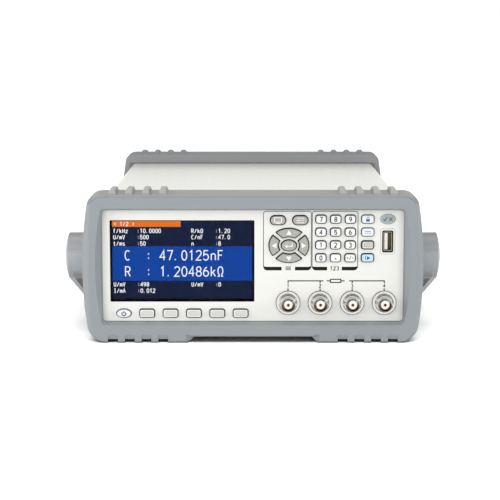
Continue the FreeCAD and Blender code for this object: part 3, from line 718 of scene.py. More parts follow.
def film(name, shapes, face_y, thick, material, body, facing=-1):
    mesh = bpy.data.meshes.new(name)
    kit = bmesh.new()
    for points, faces in shapes:
        front = [kit.verts.new((x * MM, face_y + facing * thick * MM, z * MM)) for x, z in points]
        back = [kit.verts.new((x * MM, face_y, z * MM)) for x, z in points]
        uses = {}
        for ring in faces:
            kit.faces.new([front[i] for i in ring])
            kit.faces.new([back[i] for i in reversed(ring)])
            for a, b in zip(ring, ring[1:] + ring[:1]):
                uses.setdefault((min(a, b), max(a, b)), []).append((a, b))
        for edges in uses.values():
            if len(edges) == 1:
                a, b = edges[0]
                kit.faces.new([front[b], front[a], back[a], back[b]])
    bmesh.ops.recalc_face_normals(kit, faces=kit.faces)
    kit.to_mesh(mesh)
    kit.free()
    mesh.materials.append(material)
    piece = bpy.data.objects.new(name, mesh)
    bpy.context.scene.collection.objects.link(piece)
    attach(piece, body)
    return piece


print("film tools ready")

# %% [markdown]
# Digits and unit signs on the screen, the keys and the panel are single pen lines, as an engraving machine
# draws them. Blender's text objects could make them too, but their wide letters look unlike the narrow
# ones of a display. Each sign is a few lines and arcs in a cell 4 wide and 7 high, and the stroke tool
# above gives the lines their weight.

# %% Pen lines for digits and units
CELL_WIDE, CELL_HIGH = 4.0, 7.0


def bow(x, z, wide, high, start, end):
    return arc_points(x, z, wide, start, end, 14, high / wide)


def loop(x, z, wide, high):
    return arc_points(x, z, wide, 0, 342, 19, high / wide)


def dot(x, z):
    return [(x, z - 0.45), (x, z + 0.45)]


LOOPS = {"0": [loop(2, 3.5, 1.8, 3.5)], "6": [loop(2, 2.1, 1.8, 2.1)], "9": [loop(2, 4.9, 1.8, 2.1)],
         "8": [loop(2, 5.3, 1.55, 1.7), loop(2, 1.8, 1.8, 1.8)]}
LINES = {
    "1": [[(0.8, 5.7), (2.2, 7), (2.2, 0)]],
    "2": [bow(2, 5.2, 1.8, 1.8, 165, -35) + [(0.2, 0), (3.8, 0)]],
    "3": [bow(1.9, 5.3, 1.6, 1.7, 150, -90), bow(1.9, 1.8, 1.8, 1.8, 90, -150)],
    "4": [[(2.9, 0), (2.9, 7), (0.1, 2.1), (3.9, 2.1)]],
    "5": [[(3.5, 7), (0.7, 7), (0.4, 3.6)] + bow(1.9, 2.2, 1.9, 2.2, 120, -150)],
    "6": [bow(3.9, 2.1, 3.7, 4.9, 110, 180)],
    "7": [[(0.1, 7), (3.9, 7), (1.6, 0)]],
    "9": [bow(0.1, 4.9, 3.7, 4.9, 0, -70)],
    ".": [dot(0.7, 0.45)],
    ":": [dot(2, 4.6), dot(2, 1.4)],
    "/": [[(0.4, 0), (3.6, 7)]],
    "+": [[(0.4, 3.5), (3.6, 3.5)], [(2, 1.9), (2, 5.1)]],
    "-": [[(0.5, 3.5), (3.5, 3.5)]],
    "<": [[(3.2, 5.9), (0.8, 3.5), (3.2, 1.1)]],
    ">": [[(0.8, 5.9), (3.2, 3.5), (0.8, 1.1)]],
    "A": [[(0.1, 0), (2, 7), (3.9, 0)], [(0.8, 2.4), (3.2, 2.4)]],
    "C": [bow(2.1, 3.5, 1.9, 3.5, 50, 310)],
    "F": [[(0.5, 0), (0.5, 7), (3.7, 7)], [(0.5, 3.7), (3.1, 3.7)]],
    "H": [[(0.4, 0), (0.4, 7)], [(3.6, 0), (3.6, 7)], [(0.4, 3.6), (3.6, 3.6)]],
    "I": [[(2, 0), (2, 7)], [(1, 0), (3, 0)], [(1, 7), (3, 7)]],
    "M": [[(0.3, 0), (0.3, 7), (2, 3), (3.7, 7), (3.7, 0)]],
    "R": [[(0.4, 0), (0.4, 7)] + bow(2.0, 5.2, 1.7, 1.8, 90, -90) + [(0.4, 3.4)], [(2, 3.4), (3.8, 0)]],
    "U": [[(0.4, 7)] + bow(2, 1.7, 1.6, 1.7, 180, 360) + [(3.6, 7)]],
    "V": [[(0.2, 7), (2, 0), (3.8, 7)]],
    "f": [bow(2.8, 5.7, 1.2, 1.3, 60, 180) + [(1.6, 0)], [(0.5, 4.6), (3.1, 4.6)]],
    "k": [[(0.6, 0), (0.6, 7)], [(3.3, 4.7), (0.6, 1.9)], [(1.6, 2.9), (3.6, 0)]],
    "m": [[(0.3, 0)] + bow(1.2, 3.6, 0.9, 1.1, 180, 0) + [(2.1, 0)],
          bow(3.0, 3.6, 0.9, 1.1, 180, 0) + [(3.9, 0)]],
    "n": [[(0.6, 0), (0.6, 4.7)], bow(2.1, 3.2, 1.5, 1.5, 180, 0) + [(3.6, 0)]],
    "s": [bow(2, 3.6, 1.4, 1.1, 30, 270) + bow(2, 1.25, 1.4, 1.25, 90, -150)],
    "t": [[(1.7, 6.8)] + bow(2.7, 1.1, 1.0, 1.1, 180, 300), [(0.4, 4.5), (3.2, 4.5)]],
    "z": [[(0.5, 4.7), (3.5, 4.7), (0.5, 0), (3.5, 0)]],
    "\u03a9": [[(0, 0), (1.1, 0)] + bow(2, 3.9, 1.8, 3.1, 238, -58) + [(2.9, 0), (4, 0)]],
}


def pen_text(words, x, z, height, weight, pitch, align=0.5):
    scale = height / CELL_HIGH
    start = x - align * pitch * len(words) + (pitch - CELL_WIDE * scale) / 2
    shapes = []
    for i, letter in enumerate(words):
        for closed, table in ((True, LOOPS), (False, LINES)):
            for points in table.get(letter, []):
                placed = [(start + pitch * i + px * scale, z + pz * scale - height / 2) for px, pz in points]
                shapes.append(stroke(placed, weight, closed))
    return shapes


print("signs drawn by pen", len(set(LOOPS) | set(LINES)))

# %% [markdown]
# Two thin frames group the menu keys and the number keys on the panel, each with a heavy bar at its foot
# that leaves room for a sign. They could be one flat drawing laid on the panel, but strokes of constant
# width, as from a drafting pen, need only their corner points. Those are in millimetres, in the frame of
# the CAD model.

# %% Frames round the keys
FRAME_TOP = 90.3
FRAME_FOOT = 50.9
FRAME_BEND = 1.8
FRAME_LINE = 0.42
FOOT_CORNER = 1.7
BAR_STEPS = 7
BAR_STEP_ANGLE = 15
BAR_SIDE = 0.2
BAR_LOW = 1.4
BAR_HIGH = 1.05
OUTER_BEND = (2.8, 3.1)
INNER_BEND = (2.4, 0.65)


def quarter_bend(side, foot, turn, size):
    wide, high = size
    angles = [math.radians(BAR_STEP_ANGLE * i) for i in range(BAR_STEPS)]
    return [(side + turn * wide * (1 - math.cos(a)), foot + FOOT_CORNER - high * math.sin(a)) for a in angles]


def foot_bar(side, gap, foot, turn):
    outer = quarter_bend(side - turn * BAR_SIDE, foot, turn, OUTER_BEND)
    inner = quarter_bend(side + turn * BAR_SIDE, foot, turn, INNER_BEND)
    return polygon(outer + [(gap, foot - BAR_LOW), (gap, foot + BAR_HIGH)] + inner[::-1])


def group_frame(left, right, gap_left, gap_right):
    high = FRAME_TOP - FRAME_BEND
    path = [(left, FRAME_FOOT + FOOT_CORNER)]
    path += list(reversed(arc_points(left + FRAME_BEND, high, FRAME_BEND, 90, 180, 8)))
    path += list(reversed(arc_points(right - FRAME_BEND, high, FRAME_BEND, 0, 90, 8)))
    path += [(right, FRAME_FOOT + FOOT_CORNER)]
    bars = [foot_bar(left, gap_left, FRAME_FOOT, 1), foot_bar(right, gap_right, FRAME_FOOT, -1)]
    return [stroke(path, FRAME_LINE)] + bars


def menu_sign(x, z):
    return [stroke([(x - 1.9, z + dz), (x + 1.9, z + dz)], 0.5) for dz in (0.95, 0.0, -0.95)]


panel_lines = group_frame(left=7.2, right=39.9, gap_left=19.6, gap_right=28.8)
panel_lines += group_frame(left=40.5, right=71.7, gap_left=50.8, gap_right=60.9)
panel_lines += menu_sign(24.2, FRAME_FOOT)
panel_lines += pen_text("123", 55.85, FRAME_FOOT, height=2.5, weight=0.5, pitch=2.2)
print("shapes of the frames", len(panel_lines))

# %% [markdown]
# A bracket with drops joins the four sockets, with a small block in its middle that stands for the part
# under test, and each socket has its number. Bracket and frames could be separate films, but they're
# printed with the same ink in one go, so they become one piece.

# %% Panel print
SOCKET_X = [SOCKET_FIRST + SOCKET_PITCH * i for i in range(4)]
FILM = 0.04
BRACKET_LINE = 0.72
BRACKET_HEIGHT = 42.2
BRACKET_DROP = 1.6
BRACKET_JOIN = 0.28
BRACKET_END = 2.2
WIRES = [(50.6, 52.9), (60.6, 62.9)]
SOCKET_TICK = (37.0, 35.4)
BLOCK_LEFT = 53.2
BLOCK_RIGHT = 60.3
BLOCK_HALF_HIGH = 1.1
NUMBER_HEIGHT = 38.8


def socket_bracket():
    line = BRACKET_HEIGHT
    paths = []
    for a, b, end in ((SOCKET_X[0], SOCKET_X[1], 1), (SOCKET_X[3], SOCKET_X[2], -1)):
        paths.append([(a, line - BRACKET_DROP), (a, line), (b + end * BRACKET_END, line)])
        paths.append([(b, line - BRACKET_DROP), (b, line - BRACKET_JOIN)])
    for x in SOCKET_X:
        paths.append([(x, z) for z in SOCKET_TICK])
    shapes = [stroke(path, BRACKET_LINE) for path in paths]
    low = line - BLOCK_HALF_HIGH
    high = line + BLOCK_HALF_HIGH
    block = [(BLOCK_LEFT, low), (BLOCK_RIGHT, low), (BLOCK_RIGHT, high), (BLOCK_LEFT, high)]
    shapes.append(stroke(block, BRACKET_LINE, True))
    for start, end in WIRES:
        shapes.append(stroke([(start, line), (end, line)], BRACKET_LINE))
    return shapes


panel_lines += socket_bracket()
for i, x in enumerate(SOCKET_X):
    panel_lines += pen_text(str(i + 1), x, NUMBER_HEIGHT, height=2.2, weight=0.46, pitch=2.0)
film("panel_print", panel_lines, PANEL_FACE, FILM, dark_ink, "case")
print("panel print shapes", len(panel_lines))

# %% [markdown]
# Plain signs tell the keys apart: a screen, sliders, arrow heads, a return arrow, a padlock. They could come
# from a font of symbols, but then the script would need that file. Strokes and small outlines are enough.
# Each sign is drawn round its own middle, in millimetres.

# %% Sign drawings


def triangle(x, z, size, turn):
    points = []
    for angle in (90, 210, 330):
        a = math.radians(angle - turn)
        points.append((x + size * math.cos(a), z + size * math.sin(a)))
    return polygon(points)


def screen_sign():
    return [stroke([(-1.9, -0.9), (1.9, -0.9), (1.9, 1.4), (-1.9, 1.4)], 0.36, True),
            stroke([(-1.1, -1.6), (1.1, -1.6)], 0.36)]


def slider_sign():
    shapes = []
    for dz, knob in ((1.2, -0.8), (0.0, 0.9), (-1.2, -0.2)):
        shapes.append(stroke([(-2.0, dz), (2.0, dz)], 0.3))
        shapes.append(polygon(arc_points(knob, dz, 0.48, 0, 330, 11)))
    return shapes


def return_sign():
    return [stroke([(1.7, 1.3), (1.7, -0.3), (-0.9, -0.3)], 0.42), triangle(-1.3, -0.3, 0.95, 270)]


def power_sign():
    return [stroke(arc_points(0, -0.1, 1.35, 130, 410, 24), 0.62), stroke([(0, 0.1), (0, 1.7)], 0.62)]


def lock_sign():
    return [polygon([(-1.2, -1.5), (1.2, -1.5), (1.2, 0.2), (-1.2, 0.2)]),
            stroke([(-0.75, 0.25)] + arc_points(0, 0.75, 0.75, 180, 0, 12) + [(0.75, 0.25)], 0.34)]


def direct_current_sign():
    shapes = [stroke([(-1.9, 0.6), (1.9, 0.6)], 0.4)]
    for x in (-1.4, 0.0, 1.4):
        shapes.append(stroke([(x - 0.45, -0.6), (x + 0.45, -0.6)], 0.4))
    return shapes


def keyboard_sign():
    shapes = [stroke([(-2.2, -1.3), (2.2, -1.3), (2.2, 1.3), (-2.2, 1.3)], 0.28, True)]
    for x in (-1.3, -0.43, 0.43, 1.3):
        for z in (0.5, -0.35):
            shapes.append(polygon([(x - 0.22, z - 0.22), (x + 0.22, z - 0.22), (x + 0.22, z + 0.22),
                                   (x - 0.22, z + 0.22)]))
    return shapes


def trigger_sign():
    return [triangle(0.35, 0, 1.55, 90), stroke([(-1.45, -1.2), (-1.45, 1.2)], 0.42)]


def point_sign():
    return [polygon(arc_points(0, -0.5, 0.5, 0, 330, 11))]


def change_sign():
    return pen_text("+/-", 0, 0, height=2.4, weight=0.42, pitch=1.75)


print("sign drawings ready")

# %% [markdown]
# Each key now gets its sign, in the middle of its face. One film for all signs would be simpler, but it would
# stay behind when a key is pressed, so every sign is a film of its own that rides with its key. The key's
# box gives the place, and the finer drawings are made a little larger.

# %% Key signs
ARROW_SIZE = 2.1
ARROW_INSET = 0.3
ARROW_LIFT = {"arrow_up": 0.4, "arrow_down": -0.4}
LARGE_SIGNS = ["display_key", "setup_key", "enter_key", "keyboard_key"]
LARGE_SCALE = 1.3
DIGIT_PEN = (3.0, 0.56, 2.0)
KEY_SIGNS = {
    "display_key": (screen_sign(), white_ink), "setup_key": (slider_sign(), white_ink),
    "enter_key": (return_sign(), white_ink), "keyboard_key": (keyboard_sign(), white_ink),
    "arrow_up": ([triangle(0, -ARROW_INSET, ARROW_SIZE, 0)], white_ink),
    "arrow_down": ([triangle(0, ARROW_INSET, ARROW_SIZE, 180)], white_ink),
    "arrow_left": ([triangle(ARROW_INSET, 0, ARROW_SIZE, 270)], white_ink),
    "arrow_right": ([triangle(-ARROW_INSET, 0, ARROW_SIZE, 90)], white_ink),
    "power_key": (power_sign(), dark_ink), "lock_key": (lock_sign(), blue_ink),
    "bias_key": (direct_current_sign(), blue_ink), "trigger_key": (trigger_sign(), blue_ink),
    "key_point": (point_sign(), dark_ink), "key_sign": (change_sign(), dark_ink),
}
for digit, key_name in enumerate(KEYS_BY_DIGIT):
    KEY_SIGNS[key_name] = (pen_text(str(digit), 0, 0, *DIGIT_PEN), dark_ink)
for key_name, (shapes, ink) in KEY_SIGNS.items():
    low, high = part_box(key_name)
    middle = (low + high) / 2 / MM
    middle.z += ARROW_LIFT.get(key_name, 0.0)
    size = LARGE_SCALE if key_name in LARGE_SIGNS else 1.0
    placed = [moved(shape, middle.x, middle.z, size) for shape in shapes]
    film("sign_" + key_name, placed, low.y, FILM, ink, key_name + "_body")
print("key signs", len(KEY_SIGNS))

# %% [markdown]
# Each soft key carries a slightly greyer pad set into a white rim. The pad could be a second colour on the
# key's own faces, but a shallow raised film with rounded corners keeps a crisp edge: the rim is the keycap
# itself.

# %% Soft key pads
PAD_WIDE = 8.2
PAD_HIGH = 4.0
PAD_ROUND = 1.0
PAD_THICK = 0.05
for i in range(1, 6):
    key_name = "soft_key_%d" % i
    low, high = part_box(key_name)
    middle = (low + high) / 2 / MM
    pad = rounded(middle.x, middle.z, PAD_WIDE, PAD_HIGH, PAD_ROUND)
    film("pad_" + key_name, [pad], low.y, PAD_THICK, key_pad_grey, key_name + "_body")
print("pads on soft keys made")

# %% [markdown]
# The screen glows by itself. It could be lit by a lamp behind it, but emission is simpler and free of noise,
# and at a strength near one the colours show as written. A faint drift keeps each colour from being flat.

# %% Screen finish
GLOW_BASE = (0.004, 0.004, 0.005, 1)
GLOW_CLOUD_SCALE = 30.0
GLOW_CLOUD_DETAIL = 2.0


def glowing(name, colour, wander):
    material, tree = new_finish(name)
    shader = tree.nodes["Principled BSDF"]
    shader.inputs["Base Color"].default_value = GLOW_BASE
    shader.inputs["Specular IOR Level"].default_value = 0.0
    shader.inputs["Emission Strength"].default_value = 1.0
    place = tree.nodes.new("ShaderNodeTexCoord")
    tone = drifting(tree, place, colour, wander, GLOW_CLOUD_SCALE, GLOW_CLOUD_DETAIL)
    tree.links.new(tone, shader.inputs["Emission Color"])
    return material


screen_ground = glowing("screen_ground", paint(17, 27, 56), wander=0.25)
screen_band = glowing("screen_band", paint(11, 65, 156), wander=0.08)
screen_tab = glowing("screen_tab", paint(232, 113, 30), wander=0.06)
screen_white = glowing("screen_white", paint(240, 242, 246), wander=0.02)
print("screen colours 4")

# %% [markdown]
# The picture on the screen is built in layers between the module's glass and the clear window: dark ground,
# orange tab, blue band, then white digits. One image could hold it all, but films stay sharp close up. The
# readings are made up: a capacitor and a resistor, with their units.

# %% Screen picture
GLASS_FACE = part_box("display_module")[0].y
SCREEN_LEFT = -96.4
SCREEN_RIGHT = -0.5
SCREEN_FOOT = 29.4
SCREEN_TOP = 83.2
BAND_FOOT = 41.9
BAND_TOP = 65.7
TAB_RIGHT = -49.5
TAB_FOOT = 79.2
GROUND_THICK = 0.02
LAYER_THICK = 0.015
SMALL_PEN = (2.7, 0.5, 2.1)
LARGE_PEN = (6.6, 0.75, 4.95)
TAB_PEN = (2.5, 0.45, 2.08)
ROW_HEIGHTS = [76.4, 72.1, 67.7, 39.3, 34.9]


def plate(left, right, low, high):
    return polygon([(left, low), (right, low), (right, high), (left, high)])


ground = plate(SCREEN_LEFT, SCREEN_RIGHT, SCREEN_FOOT, SCREEN_TOP)
band = plate(SCREEN_LEFT, SCREEN_RIGHT, BAND_FOOT, BAND_TOP)
tab = plate(SCREEN_LEFT, TAB_RIGHT, TAB_FOOT, SCREEN_TOP)
SCREEN_FILMS = [("screen_ground", screen_ground, 0.0, GROUND_THICK, ground),
                ("screen_band", screen_band, GROUND_THICK, LAYER_THICK, band),
                ("screen_tab", screen_tab, GROUND_THICK, LAYER_THICK, tab)]
for name, finish, lift, thick, shape in SCREEN_FILMS:
    film(name, [shape], GLASS_FACE - lift * MM, thick, finish, "case")
left_rows = [("f/kHz", "10.0000"), ("U/mV", "500"), ("t/ms", "50"), ("U/mV", "498"), ("I/mA", "0.012")]
right_rows = [("R/k\u03a9", "1.20"), ("C/nF", "47.0"), ("n", "8"), ("U/mV", "0")]
readout = []
for rows, label_x, value_x in ((left_rows, -95.9, -79.6), (right_rows, -42.4, -26.0)):
    for (label, value), z in zip(rows, ROW_HEIGHTS):
        readout += pen_text(label, label_x, z, *SMALL_PEN, align=0)
        readout += pen_text(":" + value, value_x, z, *SMALL_PEN, align=0)
for label, value, z in (("C", "47.0125nF", 59.5), ("R", "1.20486k\u03a9", 48.3)):
    readout += pen_text(label, -86.0, z, *LARGE_PEN)
    readout += pen_text(":", -71.6, z, *LARGE_PEN)
    readout += pen_text(value, -64.4, z, *LARGE_PEN, align=0)
readout += pen_text("< 1/2 >", -95.4, 81.2, *TAB_PEN, align=0)
digits_face = GLASS_FACE - (GROUND_THICK + LAYER_THICK) * MM
film("screen_digits", readout, digits_face, LAYER_THICK, screen_white, "case")
print("screen shapes", len(readout))

# %% [markdown]
# The status lamp shows a tick and a cross under its smoked lens. They could be holes in a mask behind the
# lens, but only their outlines show, so both are strokes printed on it.

# %% Lamp signs
LAMP_PEN = 0.55
lamp_low, lamp_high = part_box("status_lamp")
lamp_middle = (lamp_low + lamp_high) / 2 / MM
lamp_paths = [[(-3.2, 0.1), (-2.2, -1.1), (-0.6, 1.5)], [(0.8, -1.2), (3.0, 1.2)],
              [(0.8, 1.2), (1.6, 0.33)], [(2.2, -0.33), (3.0, -1.2)]]
lamp_shapes = [moved(stroke(path, LAMP_PEN), lamp_middle.x, lamp_middle.z) for path in lamp_paths]
film("lamp_signs", lamp_shapes, lamp_low.y, FILM, soft_ink, "case")
print("lamp signs", len(lamp_shapes))

# %% [markdown]
# The two ports at the rear each hold two rows of gilt sleeves, one sleeve in each hole of the port's face.
# They could be copied one by one, but sleeves repeat at an even pitch, which is what Geometry Nodes is good
# at: a line of points, one ring on each point, then real mesh. The pitch and count are inputs, so both
# ports use the same tree.

# %% Tree for a row of rings
RING_STEPS = 20
RING_RADIUS = 0.40
RING_WALL = 0.2
RING_LENGTH = 3.4


def ring_row_tree():
    tree = bpy.data.node_groups.new("ring_row", "GeometryNodeTree")
    face = tree.interface
    face.new_socket(name="Count", in_out="INPUT", socket_type="NodeSocketInt")
    face.new_socket(name="Start", in_out="INPUT", socket_type="NodeSocketVector")
    face.new_socket(name="Pitch", in_out="INPUT", socket_type="NodeSocketVector")
    face.new_socket(name="Finish", in_out="INPUT", socket_type="NodeSocketMaterial")
    face.new_socket(name="Geometry", in_out="OUTPUT", socket_type="NodeSocketGeometry")
    make = tree.nodes.new
    given = make("NodeGroupInput")
    line = make("GeometryNodeMeshLine")
    circle = make("GeometryNodeCurvePrimitiveCircle")
    circle.inputs["Resolution"].default_value = RING_STEPS
    circle.inputs["Radius"].default_value = RING_RADIUS * MM
    section = make("GeometryNodeCurvePrimitiveQuadrilateral")
    section.inputs["Width"].default_value = RING_WALL * MM
    section.inputs["Height"].default_value = RING_LENGTH * MM
    tube = make("GeometryNodeCurveToMesh")
    place = make("GeometryNodeInstanceOnPoints")
    place.inputs["Rotation"].default_value = (math.radians(90), 0, 0)
    real = make("GeometryNodeRealizeInstances")
    coat = make("GeometryNodeSetMaterial")
    result = make("NodeGroupOutput")
    join = tree.links.new
    join(given.outputs["Count"], line.inputs["Count"])
    join(given.outputs["Start"], line.inputs["Start Location"])
    join(given.outputs["Pitch"], line.inputs["Offset"])
    join(circle.outputs["Curve"], tube.inputs["Curve"])
    join(section.outputs["Curve"], tube.inputs["Profile Curve"])
    join(line.outputs["Mesh"], place.inputs["Points"])
    join(tube.outputs["Mesh"], place.inputs["Instance"])
    join(place.outputs["Instances"], real.inputs["Geometry"])
    join(real.outputs["Geometry"], coat.inputs["Geometry"])
    join(given.outputs["Finish"], coat.inputs["Material"])
    join(coat.outputs["Geometry"], result.inputs["Geometry"])
    return tree


row_tree = ring_row_tree()
print("nodes in the ring row tree", len(row_tree.nodes))

# %% [markdown]
# The tree is run once for each row. Its faces are turned outwards, and the helper object is removed.

# %% Port contacts
REAR_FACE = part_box("rear_panel")[1].y
SLEEVE_OUT = 4.4
PIN_PITCH = 2.76
UPPER_ROW = 63.42
LOWER_ROW = 60.58


def outward(mesh):
    kit = bmesh.new()
    kit.from_mesh(mesh)
    bmesh.ops.recalc_face_normals(kit, faces=kit.faces)
    kit.to_mesh(mesh)
    kit.free()


def ring_row(name, tree, count, start, pitch):
    carrier = bpy.data.objects.new(name + "_plan", bpy.data.meshes.new(name + "_plan"))
    bpy.context.scene.collection.objects.link(carrier)
    modifier = carrier.modifiers.new("row", "NODES")
    modifier.node_group = tree
    values = {"Count": count, "Start": start, "Pitch": (pitch, 0, 0), "Finish": gold_plate}
    for socket in tree.interface.items_tree:
        if socket.in_out == "INPUT":
            modifier[socket.identifier] = values[socket.name]
    graph = bpy.context.evaluated_depsgraph_get()
    mesh = bpy.data.meshes.new_from_object(carrier.evaluated_get(graph))
    bpy.data.objects.remove(carrier)
    outward(mesh)
    piece = bpy.data.objects.new(name, mesh)
    bpy.context.scene.collection.objects.link(piece)
    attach(piece, "case")
    return len(mesh.polygons)


sleeve_y = REAR_FACE + SLEEVE_OUT * MM
for port, middle, pins in (("handler", -8.0, 25), ("serial", 54.0, 9)):
    for row, count, z in (("upper", pins // 2 + 1, UPPER_ROW), ("lower", pins // 2, LOWER_ROW)):
        start = ((middle - (count - 1) / 2 * PIN_PITCH) * MM, sleeve_y, z * MM)
        made = ring_row(port + "_contacts_" + row, row_tree, count, start, PIN_PITCH * MM)
        print(port, row, "contact faces", made)

# %% [markdown]
# The rear panel carries three plain signs: the earth sign at the ground post, a wave beside the mains
# inlet and a fuse sign beside its drawer. They could be engraved, but print is usual on painted sheet, so
# they're made the same way as the front, facing backwards.

# %% Rear signs
SIGN_LINE = 0.4
WAVE_LINE = 0.5
WAVE_LENGTH = 6
WAVE_HEIGHT = 1.1
WAVE_STEPS = 24


def earth_sign(x, z):
    shapes = [stroke([(x, z + 2.6), (x, z)], SIGN_LINE)]
    for width, dz in ((2.3, -0.2), (1.5, -1.1), (0.7, -2.0)):
        shapes.append(stroke([(x - width, z + dz), (x + width, z + dz)], SIGN_LINE))
    return shapes


def wave_sign(x, z):
    start = x - WAVE_LENGTH / 2
    points = [(start + WAVE_LENGTH * i / WAVE_STEPS, z + WAVE_HEIGHT * math.sin(2 * math.pi * i / WAVE_STEPS))
              for i in range(WAVE_STEPS + 1)]
    return [stroke(points, WAVE_LINE)]


def fuse_sign(x, z):
    body = [(x - 2.6, z - 1), (x + 2.6, z - 1), (x + 2.6, z + 1), (x - 2.6, z + 1)]
    wires = [[(x - 4.0, z), (x - 2.8, z)], [(x + 2.8, z), (x + 4.0, z)]]
    return [stroke(body, SIGN_LINE, True)] + [stroke(wire, SIGN_LINE) for wire in wires]


rear_print = earth_sign(-56.0, 30.0) + wave_sign(-55.5, 41.0) + fuse_sign(-55.5, 66.5)
film("rear_print", rear_print, REAR_FACE, FILM, dark_ink, "case", 1)
print("rear signs", len(rear_print))

# %% [markdown]
# The studio is a tent of pale cloth over white paper. One plain lamp would be simpler, but only light from
# all round darkens the edge of the panel and the slots under the feet, along with the painted shade there.
# The cloth looks white to the camera and a little dimmer to the part. What metal mirrors is white near the
# ground and dark and warm overhead, which draws its rings together with the painted shade on the sockets.

# %% Tent
CLOTH_TOP = 0.8
CLOTH_LOW_LEVEL = 0.55
CLOTH_TOP_LEVEL = 0.75
MIRROR_RISE = (0.25, 0.6)
MIRROR_TOP_LEVEL = 0.2
WARM_CEILING = (1.0, 0.82, 0.62, 1.0)
WHITE = (1.0, 1.0, 1.0, 1.0)


def mirror_rays(tree, path):
    return maths(tree, "MAXIMUM", path.outputs["Is Glossy Ray"], path.outputs["Is Transmission Ray"])


def tent_light(tree):
    height = split(tree, "Generated").outputs["Z"]
    path = tree.nodes.new("ShaderNodeLightPath")
    cloth = ramp(tree, height, 0.0, CLOTH_TOP, CLOTH_LOW_LEVEL, CLOTH_TOP_LEVEL)
    mirrored = ramp(tree, height, *MIRROR_RISE, 1.0, MIRROR_TOP_LEVEL)
    mirror_ray = mirror_rays(tree, path)
    other = tree.nodes.new("ShaderNodeMapRange")
    tree.links.new(mirror_ray, other.inputs["Value"])
    tree.links.new(cloth, other.inputs["To Min"])
    tree.links.new(mirrored, other.inputs["To Max"])
    level = tree.nodes.new("ShaderNodeMapRange")
    tree.links.new(path.outputs["Is Camera Ray"], level.inputs["Value"])
    tree.links.new(other.outputs["Result"], level.inputs["To Min"])
    level.inputs["To Max"].default_value = 1.0
    white_share = maths(tree, "MAXIMUM", mirrored, maths(tree, "SUBTRACT", 1.0, mirror_ray))
    return level.outputs["Result"], colour_mix(tree, white_share, WARM_CEILING, WHITE)


world = bpy.data.worlds.new("studio")
bpy.context.scene.world = world
world.use_nodes = True
background = world.node_tree.nodes["Background"]
tent_strength, tent_colour = tent_light(world.node_tree)
world.node_tree.links.new(tent_strength, background.inputs["Strength"])
world.node_tree.links.new(tent_colour, background.inputs["Color"])
print("tent made")

# %% [markdown]
# The floor is a wide sheet of white paper. A white floor throws much light back at the part. So it is a
# mid grey to that light, and looks near white only to the camera and in mirrors: it reads as white paper
# and keeps its shadow.

# %% Floor
PAPER_LIT = 0.48
PAPER_SEEN = 0.98
PAPER_MIRRORED = 0.3
FLOOR_SIDE = 40
FLOOR_NEAR = -8
FLOOR_FAR = 80


def paper_material(name):
    material, tree = new_finish(name)
    tree.nodes.remove(tree.nodes["Principled BSDF"])
    paper = tree.nodes.new("ShaderNodeBsdfDiffuse")
    tree.links.new(paper.outputs[0], tree.nodes["Material Output"].inputs["Surface"])
    path = tree.nodes.new("ShaderNodeLightPath")
    seen = ramp(tree, path.outputs["Is Camera Ray"], 0, 1, PAPER_LIT, PAPER_SEEN)
    in_mirror = maths(tree, "MULTIPLY", mirror_rays(tree, path), PAPER_MIRRORED)
    tree.links.new(maths(tree, "ADD", seen, in_mirror), paper.inputs["Color"])
    return material


floor_mesh = bpy.data.meshes.new("studio_floor")
floor_corners = [(-FLOOR_SIDE, FLOOR_NEAR, 0), (FLOOR_SIDE, FLOOR_NEAR, 0),
                 (FLOOR_SIDE, FLOOR_FAR, 0), (-FLOOR_SIDE, FLOOR_FAR, 0)]
floor_mesh.from_pydata(floor_corners, [], [(0, 1, 2, 3)])
floor_mesh.materials.append(paper_material("studio_floor"))
floor = bpy.data.objects.new("studio_floor", floor_mesh)
bpy.context.scene.collection.objects.link(floor)
floor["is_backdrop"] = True
print("floor made")

# %% [markdown]
# A warm lamp stands high above, a wide softbox in front and a lamp at each side. The softbox is so near that
# the rear end of the case gets less of it. They could light the floor too, but their shadows would cross on
# it. Light linking keeps them off the floor, which has a broad lamp of its own and so one soft shadow. A
# small lamp in front of the panel adds the sparks on metal.

# %% Lamps
PANEL_AIM = (0, -0.17, 0.05)
SPARK_AIM = (0.05, -0.17, 0.03)
FLOOR_AIM = (0, 0, 0)
WARM_LIGHT = (1.0, 0.95, 0.88)
SIDE_LAMPS = {"left_lamp": -1.1, "right_lamp": 1.1}


def aimed(name, light, place, aim):
    holder = bpy.data.objects.new(name, light)
    holder.location = place
    holder.rotation_euler = (Vector(aim) - Vector(place)).to_track_quat("-Z", "Y").to_euler()
    bpy.context.scene.collection.objects.link(holder)
    return holder


def far_lamp(name, energy, spread, place):
    light = bpy.data.lights.new(name, "SUN")
    light.energy = energy
    light.angle = math.radians(spread)
    return aimed(name, light, place, FLOOR_AIM)


def near_lamp(name, energy, size, place, aim):
    light = bpy.data.lights.new(name, "AREA")
    light.energy = energy
    light.size = size
    return aimed(name, light, place, aim)


def link_floor(holder, state):
    group = bpy.data.collections.new(holder.name + "_light")
    group.objects.link(floor)
    group.collection_objects[0].light_linking.link_state = state
    holder.light_linking.receiver_collection = group


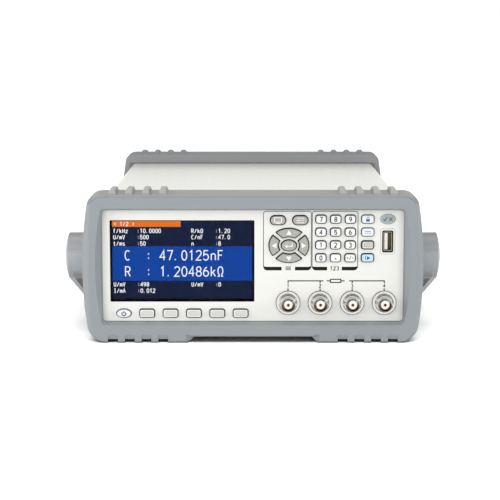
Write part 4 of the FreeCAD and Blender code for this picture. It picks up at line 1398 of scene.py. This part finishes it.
sun = far_lamp("sun", energy=0.6, spread=40, place=(-0.2, 0.4, 2.0))
sun.data.color = WARM_LIGHT
softbox = near_lamp("softbox", energy=3.2, size=1.6, place=(-0.3, -0.95, 0.3), aim=PANEL_AIM)
softbox.data.shape = "RECTANGLE"
softbox.data.size_y = 0.5
soft_lamps = [softbox]
for name, x in SIDE_LAMPS.items():
    soft_lamps.append(near_lamp(name, energy=3.2, size=0.5, place=(x, -0.55, 0.35), aim=PANEL_AIM))
for lamp in soft_lamps:
    lamp.visible_glossy = False
for lamp in [sun] + soft_lamps:
    link_floor(lamp, "EXCLUDE")
floor_sun = far_lamp("floor_sun", energy=3.0, spread=60, place=(0.04, -0.9, 2.0))
link_floor(floor_sun, "INCLUDE")
spark = near_lamp("spark", energy=0.5, size=0.15, place=(-0.15, -0.9, 1.2), aim=SPARK_AIM)
print("studio lamps", len([sun, floor_sun, spark] + soft_lamps))

# %% [markdown]
# The camera stands about a metre in front of the panel and a little above it. It could be placed by eye, but
# its height, tilt and lens were worked out from the way the case narrows towards the back, so that the
# render lines up. The focal length is in pixels of a square image and is turned into millimetres here.

# %% Camera
IMAGE_SIDE = 500
FOCAL_PIXELS = 1586.0
SENSOR = 36.0
EYE_ASIDE = -2.0
EYE_BEFORE_PANEL = 1072.9
EYE_HEIGHT = 222.6
EYE_TILT = 8.43
bpy.context.scene.view_settings.view_transform = "Standard"
camera_data = bpy.data.cameras.new("camera")
camera_data.sensor_width = SENSOR
camera_data.lens = FOCAL_PIXELS / IMAGE_SIDE * SENSOR
camera = bpy.data.objects.new("camera", camera_data)
camera.location = (EYE_ASIDE * MM, PANEL_FACE - EYE_BEFORE_PANEL * MM, EYE_HEIGHT * MM)
camera.rotation_euler = (math.radians(90 - EYE_TILT), 0, 0)
bpy.context.scene.collection.objects.link(camera)
bpy.context.scene.camera = camera
print("camera at", [round(v, 3) for v in camera.location])

# %% [markdown]
# Last, the size of what is shown is printed. It could be read off the render, but printed numbers can be
# compared after each run.

# %% Finish
low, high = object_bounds()
print("visual box", [round(v, 4) for v in high - low])
